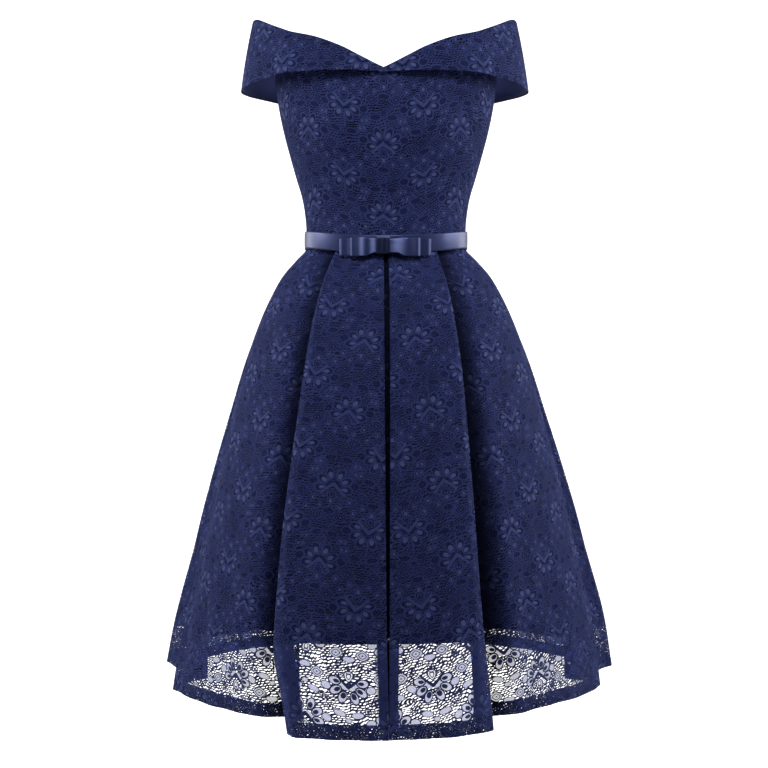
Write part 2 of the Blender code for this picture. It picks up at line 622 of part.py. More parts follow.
def make_bow_loop(loop):
    """A flat ring of ribbon, pinched at the knot and bulging on each side of it."""
    def face_point(share, level, bulge):
        x = share * loop.half_width
        full = sin(pi * max(abs(share) - PINCHED, 0.0) / (1 - PINCHED)) ** 2
        return Vector((x, level + loop.wrap * x * x - bulge * full, 0.0))

    front = [face_point(share, loop.front_y, loop.bulge) for share in LOOP_SHARES]
    back = [face_point(share, loop.back_y, 0.0) for share in reversed(LOOP_SHARES)]
    counts = [2 if abs(share) == 1.0 else 1 for share in LOOP_SHARES]
    ring = rounded_ring(front + back, counts + counts[::-1])
    outer, inner = [], []
    for share in (0.0, 0.5, 1.0):
        for face, distance in ((outer, 0.0), (inner, -RIBBON_WALL)):
            row = []
            for point in ring_moved_out(ring, distance):
                away = abs(point.x) / loop.half_width
                pinch = loop.pinch * min(max((FULL - away) / (FULL - PINCHED), 0.0), 1.0)
                low, high = loop.bottom + pinch, loop.top - pinch * 0.3
                row.append(Vector((point.x + BOW_X, point.y, low + (high - low) * share)))
            face.append(row)
    add_object(loop.node, wall_mesh(loop.node, outer, inner, loop=True), "satin")


def make_knot():
    """A short ribbon wrapped once round both tiers of the bow."""
    middle_y, middle_z = (KNOT_BACK + KNOT_FRONT) / 2, (KNOT_TOP + KNOT_BOTTOM) / 2
    half_y, half_z = (KNOT_BACK - KNOT_FRONT) / 2, (KNOT_TOP - KNOT_BOTTOM) / 2
    corners = [(-1, -1), (1, -1), (1, 1), (-1, 1)]
    points = [Vector((a * half_y, b * half_z, 0.0)) for a, b in corners]
    ring = rounded_ring(points, [3, 3, 3, 3], KNOT_CORNER)
    outer, inner = [], []
    for across in (-1, 1):
        for face, distance in ((outer, 0.0), (inner, -RIBBON_WALL)):
            face.append([Vector((KNOT_X + across * KNOT_HALF_WIDTH, middle_y + point.x,
                                 middle_z + point.y)) for point in ring_moved_out(ring, distance)])
    add_object("bow_knot", wall_mesh("bow_knot", outer, inner, loop=True), "satin")


# ---------------------------------------------------------------- zip

def make_zip_tape():
    """The strip behind the centre-back seam, from the bodice's top to its stop."""
    rows = next(rows for rows in skirt_pieces() if rows[-1][0].name == "centre_back")
    places = []
    for drop in [level for level in LACE_LEVELS if level <= ZIP_DROP][::-1]:
        point = fold_place(rows[-1][0], 1, drop)
        inside = LACE_WALL / 2 + LINING_GAP + LINING_WALL + ZIP_BEHIND_LINING
        places.append((point.y - inside, point.z))
    for level in range(1, BODICE_LEVELS + 1):
        height = bodice_top(180) * level / BODICE_LEVELS
        places.append((bodice_point(180, height).y - BODICE_WALL - SEAM_GAP, height - 1.0 * MM))
    outer = [[Vector((side * ZIP_TAPE_WIDTH / 2, y, z)) for side in (-1, 1)] for y, z in places]
    inner = [[point - Vector((0.0, ZIP_WALL, 0.0)) for point in row] for row in outer]
    add_object("zip_tape", wall_mesh("zip_tape", outer, inner), "zip")


def box(name, size, middle):
    mesh = bpy.data.meshes.new(name)
    bm = bmesh.new()
    bmesh.ops.create_cube(bm, size=1.0)
    bmesh.ops.transform(bm, matrix=Matrix.Translation(middle) @ Matrix.Diagonal((*size, 1.0)),
                        verts=bm.verts)
    bm.to_mesh(mesh)
    bm.free()
    return mesh


def rod(name, radius, length, sides):
    """A rod along X through the origin."""
    mesh = bpy.data.meshes.new(name)
    bm = bmesh.new()
    bmesh.ops.create_cone(bm, cap_ends=True, segments=sides, radius1=radius, radius2=radius,
                          depth=length, matrix=Matrix.Rotation(pi / 2, 4, "Y"))
    bm.to_mesh(mesh)
    bm.free()
    return mesh


def combine(base, name, mesh, operation):
    """A Boolean of the base object with a mesh, which stays as a hidden wire tool."""
    tool = bpy.data.objects.new(name, mesh)
    bpy.context.scene.collection.objects.link(tool)
    tool.parent = base.parent
    tool.hide_render = True
    tool.display_type = "WIRE"
    modifier = base.modifiers.new(name, "BOOLEAN")
    modifier.operation = operation
    modifier.object = tool


def make_zip_pull():
    """The slider at the top of the zip, and the tab that swings on its pin."""
    back = bodice_point(180, HINGE_HEIGHT).y + SEAM_GAP
    hinge = bpy.data.objects.new("zip_hinge", None)
    hinge.location = (0.0, back + HINGE_OUT, HINGE_HEIGHT)
    bpy.context.scene.collection.objects.link(hinge)

    body_middle = Vector((0.0, SLIDER_SIZE[1] / 2 - HINGE_OUT, 0.0))
    slider = add_object("zip_slider", box("zip_slider", SLIDER_SIZE, body_middle), "zip_metal")
    slider.parent = hinge
    for side in (-1, 1):
        middle = Vector((side * LUG_SPREAD, LUG_OUT - LUG_SIZE[1] / 2, 0.0))
        combine(slider, "lug", box("lug", LUG_SIZE, middle), "UNION")
    combine(slider, "pin", rod("pin", PIN_RADIUS, 2 * LUG_SPREAD, 10), "UNION")

    pull = add_object("zip_pull", rod("zip_pull", EYE_RADIUS, PULL_EYE_WIDTH, 12), "zip_metal")
    pull.parent = hinge
    neck = Vector((0.0, 0.0, -(PULL_NECK + 1.5 * MM) / 2))
    combine(pull, "neck", box("neck", (PULL_EYE_WIDTH, PULL_THICKNESS, PULL_NECK + 1.5 * MM), neck),
            "UNION")
    plate_length = PULL_LENGTH - PULL_NECK
    plate = Vector((0.0, 0.0, -PULL_NECK - plate_length / 2))
    combine(pull, "plate", box("plate", (PULL_WIDTH, PULL_THICKNESS, plate_length), plate), "UNION")
    combine(pull, "eye", rod("eye", EYE_HOLE, 2 * PULL_WIDTH, 12), "DIFFERENCE")


clear_scene()
make_bodice()
make_skirt()
make_collar()
make_belt()
for bow_loop in BOW_LOOPS:
    make_bow_loop(bow_loop)
make_knot()
make_zip_tape()
make_zip_pull()
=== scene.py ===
# %% [markdown]
# # A lace cocktail dress with a ribbon belt
#
# This lesson dresses a plain model of an off-the-shoulder cocktail dress. The plain model, the
# frame, already has every piece at its real size and place: bodice, collar, pleated skirt,
# linings, belt, bow and zip. Each step here takes one piece, says what it is on the real dress,
# and replaces or finishes it. Lengths are in metres, +Z is up and the front faces -Y.

import json
from math import cos, degrees, hypot, pi, radians, sin

import bpy
import numpy as np
from mathutils import Matrix, Vector

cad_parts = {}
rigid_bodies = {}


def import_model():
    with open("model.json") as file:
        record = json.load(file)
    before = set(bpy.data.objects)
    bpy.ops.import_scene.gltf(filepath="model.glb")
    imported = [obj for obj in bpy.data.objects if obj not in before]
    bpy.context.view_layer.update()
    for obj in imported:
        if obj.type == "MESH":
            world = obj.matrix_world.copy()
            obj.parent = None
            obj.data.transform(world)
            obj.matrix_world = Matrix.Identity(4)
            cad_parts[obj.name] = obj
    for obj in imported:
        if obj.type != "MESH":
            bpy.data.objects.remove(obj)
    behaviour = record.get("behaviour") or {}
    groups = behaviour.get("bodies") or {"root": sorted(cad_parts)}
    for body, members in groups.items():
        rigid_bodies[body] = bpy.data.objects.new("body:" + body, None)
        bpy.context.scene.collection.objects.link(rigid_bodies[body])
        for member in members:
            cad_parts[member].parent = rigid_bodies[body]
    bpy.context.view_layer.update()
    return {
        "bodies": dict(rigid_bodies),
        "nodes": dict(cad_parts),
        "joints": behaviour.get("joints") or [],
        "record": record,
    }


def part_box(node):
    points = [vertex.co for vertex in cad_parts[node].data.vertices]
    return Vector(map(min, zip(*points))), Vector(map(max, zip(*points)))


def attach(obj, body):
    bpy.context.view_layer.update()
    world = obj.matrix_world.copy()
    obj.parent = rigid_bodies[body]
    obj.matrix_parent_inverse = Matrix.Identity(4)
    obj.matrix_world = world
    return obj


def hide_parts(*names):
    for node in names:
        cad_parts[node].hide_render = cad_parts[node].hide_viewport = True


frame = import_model()
MM = 0.001


def nothing_selected():
    """Operators act on whatever is selected, so each step starts from nothing."""
    if bpy.context.object and bpy.context.object.mode != "OBJECT":
        bpy.ops.object.mode_set(mode="OBJECT")
    bpy.ops.object.select_all(action="DESELECT")


def pick(piece):
    """Selects one piece alone and makes it the active one."""
    nothing_selected()
    piece.select_set(True)
    bpy.context.view_layer.objects.active = piece


nothing_selected()

# %% [markdown]
# ## Camera, floor and light
#
# A garment is shown evenly lit on white, from straight in front at the height of its middle. A
# long lens from a few metres keeps the hem from looking larger than the neckline. The floor runs
# up into the backdrop in one curve, so that no line shows behind the dress. Most of the light
# comes from a large soft box on each side, straight beside the dress and a little above it: the
# pleats' edges are lit and the folds between them stay dark. A weak box in front fills in, a
# narrow beam from above falls on the collar, and two boxes behind give the sides a soft rim.

# %% Camera
CAMERA_PLACE = (-0.0029, -2.2, -0.20735)
CAMERA_VIEW = radians(28.4)

bpy.ops.object.camera_add(location=CAMERA_PLACE, rotation=(pi / 2, 0.0, 0.0))
camera = bpy.context.object
camera.name = "dress_camera"
camera.data.sensor_width = 36.0
camera.data.angle = CAMERA_VIEW
camera.data.clip_end = 40.0
bpy.context.scene.camera = camera
print(f"lens {camera.data.lens:.1f} mm")

# %% Floor and backdrop in one sweep
FLOOR_HEIGHT = -1.05
SWEEP_RADIUS, SWEEP_STEPS = 1.6, 18
FLOOR_FRONT, FLOOR_BACK, WALL_TOP, SWEEP_HALF_WIDTH = -7.0, 3.2, 5.0, 9.0


def sweep_profile():
    """The section of the floor, the curve and the wall, as (y, z) pairs."""
    points = [(FLOOR_FRONT, FLOOR_HEIGHT)]
    for step in range(SWEEP_STEPS + 1):
        turn = pi / 2 * step / SWEEP_STEPS
        points.append((FLOOR_BACK + SWEEP_RADIUS * sin(turn),
                       FLOOR_HEIGHT + SWEEP_RADIUS * (1 - cos(turn))))
    return points + [(FLOOR_BACK + SWEEP_RADIUS, WALL_TOP)]


sweep_mesh = bpy.data.meshes.new("studio_sweep")
profile = sweep_profile()
sweep_points = [(x, y, z) for y, z in profile for x in (-SWEEP_HALF_WIDTH, SWEEP_HALF_WIDTH)]
sweep_faces = [(2 * k, 2 * k + 1, 2 * k + 3, 2 * k + 2) for k in range(len(profile) - 1)]
sweep_mesh.from_pydata(sweep_points, [], sweep_faces)
sweep_mesh.shade_smooth()
studio_sweep = bpy.data.objects.new("studio_sweep", sweep_mesh)
bpy.context.scene.collection.objects.link(studio_sweep)

# %% Soft studio light
# name: place, target, width of the box, power in watts, and the beam's width in degrees
LIGHTS = {
    "key": ((-0.9, -3.0, 1.2), (0.0, 0.0, -0.1), 1.2, 14.5, 180.0),
    "side_left": ((-3.1, 0.0, 1.0), (0.0, 0.0, -0.2), 1.3, 72.0, 180.0),
    "side_right": ((3.1, 0.0, 1.0), (0.0, 0.0, -0.2), 1.3, 80.0, 180.0),
    "top_front": ((0.1, -2.8, 2.4), (0.0, -0.1, 0.3), 0.9, 3.0, 24.0),
    "edge_left": ((-2.3, 1.4, 0.5), (0.0, 0.0, -0.2), 1.2, 24.0, 180.0),
    "edge_right": ((2.3, 1.4, 0.5), (0.0, 0.0, -0.2), 1.2, 24.0, 180.0),
}

for name, (place, target, width, power, beam) in LIGHTS.items():
    bpy.ops.object.light_add(type="AREA", location=place)
    light = bpy.context.object
    light.name, light.data.shape, light.data.size = name, "SQUARE", width
    light.data.energy, light.data.spread = power, radians(beam)
    light.rotation_euler = (Vector(target) - Vector(place)).to_track_quat("-Z", "Y").to_euler()

bpy.context.scene.view_settings.view_transform = "Standard"
bpy.context.scene.view_settings.look = "None"
print("lights:", ", ".join(LIGHTS))

# %% [markdown]
# ## Shader maths in Python
#
# A lace pattern is drawn by numbers: how far a point of the cloth is from a petal, a stem or a
# thread. Blender has a node for each sum, and wiring them by hand is slow. The small class below
# wraps a socket, so that `1 - mask` or `a * b + c` adds the nodes by itself. Every other node
# comes from one method, `shader_node`.

# %% A socket that can be added, multiplied and compared
class Number:
    """A number that varies over a surface: a socket, with the arithmetic that adds Math nodes."""

    def __init__(self, tree, socket):
        self.tree, self.socket = tree, socket

    def math(self, operation, *others):
        return shader_node(self.tree, "ShaderNodeMath", {"operation": operation},
                           dict(enumerate((self,) + others)))

    def __add__(self, other): return self.math("ADD", other)
    def __radd__(self, other): return self.math("ADD", other)
    def __sub__(self, other): return self.math("SUBTRACT", other)
    def __mul__(self, other): return self.math("MULTIPLY", other)
    def __rmul__(self, other): return self.math("MULTIPLY", other)
    def __truediv__(self, other): return self.math("DIVIDE", other)
    def __neg__(self): return self.math("MULTIPLY", -1.0)
    def __abs__(self): return self.math("ABSOLUTE")
    def __rsub__(self, other): return (-self) + other

    def least(self, other): return self.math("MINIMUM", other)
    def most(self, other): return self.math("MAXIMUM", other)
    def floor(self): return self.math("FLOOR")
    def fraction(self): return self.math("FRACT")
    def root(self): return self.math("SQRT")
    def sine(self): return self.math("SINE")
    def cosine(self): return self.math("COSINE")

    def fade(self, full, none):
        """1 where the number is at most full, 0 where it is at least none, smooth between."""
        return shader_node(self.tree, "ShaderNodeMapRange",
                           {"interpolation_type": "SMOOTHSTEP", "clamp": True},
                           {"Value": self, "From Min": full, "From Max": none,
                            "To Min": 1.0, "To Max": 0.0})


def shader_node(tree, kind, settings=None, inputs=None, output=0):
    """Adds a node: its settings first, then its sockets' values or links; gives an output."""
    node = tree.nodes.new(kind)
    for name, value in (settings or {}).items():
        if name == "stops":
            fill_ramp(node.color_ramp, value)
        else:
            setattr(node, name, value)
    for name, value in (inputs or {}).items():
        socket = node.inputs[name]
        if isinstance(value, Number):
            tree.links.new(value.socket, socket)
        elif isinstance(value, bpy.types.NodeSocket):
            tree.links.new(value, socket)
        else:
            socket.default_value = value
    return Number(tree, node.outputs[output])


def fill_ramp(ramp, stops):
    """Gives a colour ramp its stops, as (place, colour) pairs."""
    while len(ramp.elements) > 1:
        ramp.elements.remove(ramp.elements[-1])
    for k, (place, colour) in enumerate(stops):
        stop = ramp.elements[0] if k == 0 else ramp.elements.new(place)
        stop.position, stop.color = place, colour


def blended(tree, share, first, second):
    """A colour between two colours."""
    return shader_node(tree, "ShaderNodeMix", {"data_type": "RGBA"},
                       {0: share, 6: first, 7: second}, output=2)


def split(tree, vector):
    """The x, y and z of a vector."""
    x = shader_node(tree, "ShaderNodeSeparateXYZ", {}, {0: vector})
    return [Number(tree, socket) for socket in x.socket.node.outputs]


def held_value(tree, name):
    """The value, 0 to 1, that the points of a piece hold under that name."""
    return shader_node(tree, "ShaderNodeAttribute", {"attribute_name": name}, output="Fac")


def ripple(place, width):
    """A wave between -1 and 1 along a coordinate, each of its swings that wide."""
    return (place * (2 * pi / width)).sine()


def from_screen(red, green, blue):
    """A colour as seen on a screen, 0 to 255, turned into the light it stands for."""
    values = [channel / 255 for channel in (red, green, blue)]
    linear = [v / 12.92 if v <= 0.04045 else ((v + 0.055) / 1.055) ** 2.4 for v in values]
    return (*linear, 1.0)


def new_material(name, **fixed):
    """A material and its Principled shader, with the values that are the same all over."""
    made = bpy.data.materials.new(name)
    made.use_nodes = True
    shader = made.node_tree.nodes["Principled BSDF"]
    for socket, value in fixed.items():
        shader.inputs[socket.replace("_", " ")].default_value = value
    return made, made.node_tree, shader


def link(tree, shader, values):
    """Feeds each named socket of a shader with a value that varies over the surface."""
    for name, value in values.items():
        tree.links.new(value.socket, shader.inputs[name])


def link_surface(tree, shader, colour, roughness, height, strength, depth):
    """Feeds colour, roughness and a bump, with its strength and its depth in metres."""
    bump = shader_node(tree, "ShaderNodeBump", {},
                       {"Strength": strength, "Distance": depth, "Height": height})
    link(tree, shader, {"Base Color": colour, "Roughness": roughness, "Normal": bump})


print("shader helpers ready")

# %% Plain studio finish for the sweep, and a pale room beyond it
# To the eye alone, the sweep glows: fully behind the dress, so that it is white there, and about
# half as much in front. Where it ends the eye sees a pale room. Neither glow throws light on the
# dress, so the pleats keep their shadows
SWEEP_GREY, NEAR_GLOW, PALE_ROOM = 0.9, 0.55, 0.86
GLOW_FROM, GLOW_FULL = 0.5, 1.3                # how far back the sweep turns white, in metres
WORLD_STRENGTH = 0.08


def grey(light):
    """A grey that gives back that much light, from 0 to 1."""
    return (light, light, light, 1.0)


def for_the_eye(tree):
    """1 where the camera looks, 0 where light only passes on its way."""
    return shader_node(tree, "ShaderNodeLightPath", output="Is Camera Ray")


sweep_finish, tree, shader = new_material("studio_white", Base_Color=grey(SWEEP_GREY),
                                          Roughness=0.95, Emission_Strength=1.0)
_, back, _ = split(tree, shader_node(tree, "ShaderNodeTexCoord", output="Object"))
glow = blended(tree, 1.0 - back.fade(GLOW_FROM, GLOW_FULL), grey(NEAR_GLOW), grey(1.0))
link(tree, shader, {"Emission Color": blended(tree, for_the_eye(tree), grey(0.0), glow)})
studio_sweep.data.materials.append(sweep_finish)

world = bpy.data.worlds.new("studio")
world.use_nodes = True
tree, dim = world.node_tree, world.node_tree.nodes["Background"]
dim.inputs["Color"].default_value = grey(1.0)
dim.inputs["Strength"].default_value = WORLD_STRENGTH
pale = shader_node(tree, "ShaderNodeBackground", {}, {"Color": grey(PALE_ROOM)})
either = shader_node(tree, "ShaderNodeMixShader", {},
                     {0: for_the_eye(tree), 1: dim.outputs[0], 2: pale})
link(tree, tree.nodes["World Output"], {"Surface": either})
bpy.context.scene.world = world
print("studio finish ready")

# %% [markdown]
# ## The lace
#
# Corded lace has three kinds of cover. Petals, leaves and stems are worked solid. Round each
# petal there is a fine mesh that looks like a half-tone. Between the flowers there is only an
# open net of threads, whose holes are wider than they are high. The design repeats every 114 by
# 100 mm: a flower stands in each column, every second column hangs half a repeat lower, and its
# flowers are turned upside down. All of it is drawn from distances, in millimetres of cloth, on
# a map named `cloth` that every lace piece gets later, so that the flowers keep their size.

# %% Where a point lies in the repeat
REPEAT_WIDTH, REPEAT_HEIGHT = 57.0, 100.0      # of one column, in mm


def cloth_millimetres(tree):
    """The two coordinates of the cloth, across and up, in millimetres."""
    across, up, _ = split(tree, shader_node(tree, "ShaderNodeUVMap", {"uv_map": "cloth"}))
    return across * 1000.0, up * 1000.0


def place_in_repeat(across, up):
    """The place from the nearest flower's heart: across, up towards its stem, and its column."""
    column = (across / REPEAT_WIDTH + 0.5).floor()
    x = across - column * REPEAT_WIDTH
    odd = (column * 0.5).fraction() * 2.0
    lowered = up + odd * (REPEAT_HEIGHT / 2)
    y = lowered - (lowered / REPEAT_HEIGHT + 0.5).floor() * REPEAT_HEIGHT
    return x, y * (1.0 - odd * 2.0)


def length(x, y):
    """The distance from the origin."""
    return (x * x + y * y).root()


def oval(x, y, half_width, half_height):
    """Below 1 inside an oval round the origin, 1 on its edge."""
    return length(x / half_width, y / half_height)


def segment(x, y, start, end):
    """The distance to a straight line's nearest point, and how far along it that is."""
    run = (end[0] - start[0], end[1] - start[1])
    square = run[0] ** 2 + run[1] ** 2
    dx, dy = x - start[0], y - start[1]
    along = ((dx * run[0] + dy * run[1]) / square).most(0.0).least(1.0)
    return length(dx - along * run[0], dy - along * run[1]), along


print("repeat", 2 * REPEAT_WIDTH, "by", REPEAT_HEIGHT, "mm")

# %% Petals, leaf and stem of one flower
# lengths and places in mm, and each oval by its half width and half height
PETAL_TURN, FIRST_PETAL = radians(38.0), radians(5.0)
PETALS = 3                                     # on each side of the stem
CORE_REACH, PETAL_REACH = 16.3, 18.6
PETAL_CORE, PETAL_RIM, BELLY, BUD = (4.5, 3.7), (8.0, 5.3), (7.2, 4.6), (5.4, 6.6)
SEED, SEED_RING, HOOK = (2.3, 2.7), (4.6, 5.0), (4.0, 5.6)
LEAF_LOW, LEAF_HIGH, LEAF_HALF_WIDTH = (0.0, 4.0), (15.0, -7.5), 2.3
STEM_MIDDLE, STEM_REACH, STEM_CURL = 24.5, 9.0, 2.6


def line_at(shape, value, full, none):
    """A line where a shape's number has that value: how near counts in full, and how near not."""
    return abs(shape - value).fade(full, none)


def flower(x, y):
    """The petals, the leaf, the lines and the half-tone parts of a flower, each 0 to 1."""
    side = abs(x)
    turn = side.math("ARCTAN2", y) - FIRST_PETAL
    petal = (turn / PETAL_TURN).floor()
    local = turn - (petal + 0.5) * PETAL_TURN
    reach = length(x, y) * (1.0 + petal * 0.015)
    px, py = reach * local.cosine(), reach * local.sine()
    in_fan = turn.fade(PETALS * PETAL_TURN - 0.02, PETALS * PETAL_TURN) * (-turn).fade(-0.03, 0.0)
    core = oval(px - CORE_REACH, py * (1.0 + petal * 0.2), *PETAL_CORE)
    rim = oval(px - PETAL_REACH, py, *PETAL_RIM)
    petal_core = core.fade(0.84, 1.02) * in_fan
    petal_mesh = rim.fade(0.92, 0.98) * in_fan
    petal_edge = line_at(rim, 0.99, 0.08, 0.18) * in_fan

    away, along = segment(side, y + side * side * 0.012, LEAF_LOW, LEAF_HIGH)
    leaf = (away - (LEAF_HALF_WIDTH - along * 0.7)).fade(-0.2, 0.3)
    belly = oval(side - 6.4, y - 4.6 + side * 0.35, *BELLY)
    bud = oval(x, y + 9.5 + side * 0.5, *BUD)
    bud_lines = line_at(bud, 1.0, 0.07, 0.17).most(line_at(bud, 0.5, 0.06, 0.18))
    seed = oval(x, y + 19.0, *SEED).fade(0.85, 1.1)
    seed_ring = line_at(oval(x, y + 18.6, *SEED_RING), 1.0, 0.06, 0.16)
    hook = line_at(oval(side - 9.5, y + 8.5, *HOOK), 1.0, 0.10, 0.24) * (y + 8.0).fade(0.0, 2.0)
    stem = abs(x - ((y - 14.0) * 0.13).sine() * STEM_CURL).fade(0.5, 1.1)
    stem = stem * line_at(y, STEM_MIDDLE, STEM_REACH, STEM_REACH + 1.5)
    petal = petal_core.most(seed)
    line = petal_edge.most(bud_lines).most(seed_ring).most(hook).most(stem)
    mesh = petal_mesh.most(belly.fade(0.92, 1.0)).most(bud.fade(0.85, 1.0) * 0.7)
    return petal, leaf, line, mesh


print("a flower is about", round(2 * (PETAL_REACH + PETAL_RIM[0])), "mm across")

# %% Rings, lozenges and leaves between the flowers
# across and up from the heart of the flower, then the radius, or half width and half height, in mm
RINGS = ((24.8, -18.5, 3.9), (24.0, 31.0, 3.7), (13.0, -26.5, 3.0), (27.0, 20.0, 2.6))
BLOBS = ((28.5, 4.0, 6.2, 5.0), (28.5, -54.0, 6.2, 5.0), (28.5, 46.0, 6.2, 5.0),
         (0.0, -31.5, 8.2, 3.8), (11.5, 38.0, 8.0, 3.9), (0.0, 46.5, 4.2, 3.0))
LOZENGE = (17.0, -39.0, 9.8, 7.8)


def between_flowers(x, y):
    """The solid parts, the lines and the half-tone parts between the flowers."""
    side = abs(x)
    across, up, wide, high = LOZENGE
    lozenge = abs(side - across) / wide + abs(y - up) / high
    lozenge = (lozenge + oval(side - across, y - up, wide * 0.86, high * 0.86)) * 0.5
    line = line_at(lozenge, 0.98, 0.04, 0.12).most(line_at(lozenge, 0.58, 0.04, 0.12))
    mesh = lozenge.fade(0.92, 0.98)
    solid = lozenge.fade(0.10, 0.22)
    for across, up, radius in RINGS:
        away = length(side - across, (y - up) * 0.88)
        solid = solid.most(away.fade(radius * 0.34, radius * 0.54))
        line = line.most(line_at(away, radius, 0.35, 0.9))
    for across, up, wide, high in BLOBS:
        blob = oval(side - across, y - up + (side - across) * 0.16, wide, high)
        mesh = mesh.most(blob.fade(0.9, 1.0))
        line = line.most(line_at(blob, 1.0, 0.05, 0.15))
    return solid, line, mesh


print(len(RINGS), "rings and", len(BLOBS), "leaves on each side of a column")

# %% The net, and the whole lace put together
NET_WIDTH, NET_HEIGHT = 6.2, 3.4               # of one hole, in mm
DRAWN_IN_WIDTH = 4.7                           # where the lace is sewn to its backing
NET_THREAD = 0.24                              # half a thread, as a share of a hole
MESH_COVER = 0.47                              # of the half-tone mesh
FINE_WIDTH, FINE_HEIGHT = 0.95, 0.80           # of one of its own holes, in mm


def point_at(tree, x, y):
    """Two coordinates as a vector, for a texture to read."""
    return shader_node(tree, "ShaderNodeCombineXYZ", {}, {0: x, 1: y, 2: 0.0})


def noise(tree, x, y, scale, detail=1.0):
    """Smooth random clouds between 0 and 1, on two coordinates."""
    return shader_node(tree, "ShaderNodeTexNoise", {"noise_dimensions": "2D"},
                       {"Vector": point_at(tree, x, y), "Scale": scale, "Detail": detail})


def sway(tree, x, y, scale, reach):
    """A slow random shift, up to about half the reach to each side."""
    return (noise(tree, x, y, scale) - 0.5) * reach


def voronoi_edges(tree, x, y, randomness):
    """The distance to the nearest edge of a net of irregular cells about 1 wide."""
    return shader_node(tree, "ShaderNodeTexVoronoi",
                       {"feature": "DISTANCE_TO_EDGE", "voronoi_dimensions": "2D"},
                       {"Vector": point_at(tree, x, y), "Scale": 1.0, "Randomness": randomness})


def open_net_threads(tree, across, up, thread, width):
    """The net: lens-shaped holes in wavy rows, each row half a hole along from the last."""
    u = across / width + sway(tree, across, up, 0.09, 1.4)
    v = up / NET_HEIGHT + sway(tree, across + 500.0, up, 0.07, 1.8)
    size = sway(tree, across - 500.0, up, 0.2, 0.5) + sway(tree, across - 900.0, up, 0.045, 1.0)
    x, y = (u + v.floor() * 0.5).fraction() - 0.5, v.fraction() - 0.5
    hole = length(x / (0.5 - thread * 0.3), (y - x * 0.22) / (0.5 - thread)) + size
    return 1.0 - hole.fade(0.82, 1.12)


def lace(tree, width=NET_WIDTH):
    """The lace's cover from 0 to 1, where it is worked solid, and its height for the bump."""
    across, up = cloth_millimetres(tree)
    drift = sway(tree, across, up, 0.022, 14.0)
    x, y = place_in_repeat(across + drift * 0.16, up + drift * 0.12)
    petal, leaf, line, mesh = flower(x, y)
    dots, more_line, more_mesh = between_flowers(x, y)
    petal, line, mesh = petal.most(dots), line.most(more_line), mesh.most(more_mesh)
    solid = petal.most(leaf)
    threads = open_net_threads(tree, across, up - across * 0.16 + drift, NET_THREAD, width)
    fine = voronoi_edges(tree, across / FINE_WIDTH, up / FINE_HEIGHT, 0.6).fade(0.05, 0.2)
    half_tone = mesh * (fine * 0.16 + (MESH_COVER - 0.06))
    open_net = threads * (1.0 - mesh)
    doubled = held_value(tree, "doubled") * 0.97
    cover = solid.most(line).most(open_net).most(half_tone).most(doubled)
    height = solid * 0.6 + line * 0.45 + open_net * 0.35 + half_tone * 0.3
    return {"cover": cover, "solid": solid, "petal": petal, "leaf": leaf, "line": line,
            "mesh": mesh, "height": height, "across": across, "up": up}


print("net holes", NET_WIDTH, "by", NET_HEIGHT, "mm")

# %% [markdown]
# ## Lace finishes
#
# The skirt's lace hangs over a separate lining, so its holes are real: the cover drives Alpha,
# and whatever is behind shows through. The bodice and the collar have their lace sewn flat on
# the backing, and there the holes are painted near black, far darker than the backing: a
# painted shade for the shadow in them. The turned-up hem is lace on a tape, with pin-holes only.
# The satin-stitched petals catch more light than the net, so they are painted paler, a painted
# sheen, and are a little less rough. Cotton has hardly any gloss: its highlights come from a
# faint sheen, which shows where the cloth turns away.

# %% Lace colours and materials
NET_BLUE = from_screen(38, 45, 86)
# the petals' paler blue is a painted sheen of their satin stitches
PETAL_BLUE = from_screen(64, 73, 114)
LEAF_BLUE = from_screen(49, 57, 101)
HALF_TONE_BLUE = from_screen(29, 36, 77)
BACKLIT_BLUE = from_screen(74, 94, 188)
FOLD_SHADE_BLUE = from_screen(4, 6, 20)
HOLE_SHADE_BLUE = from_screen(2, 3, 14)
COTTON_SHEEN = from_screen(96, 112, 200)
PIN_WIDTH, PIN_HEIGHT = 3.6, 3.0               # between the pin-holes of the hem's tape, in mm


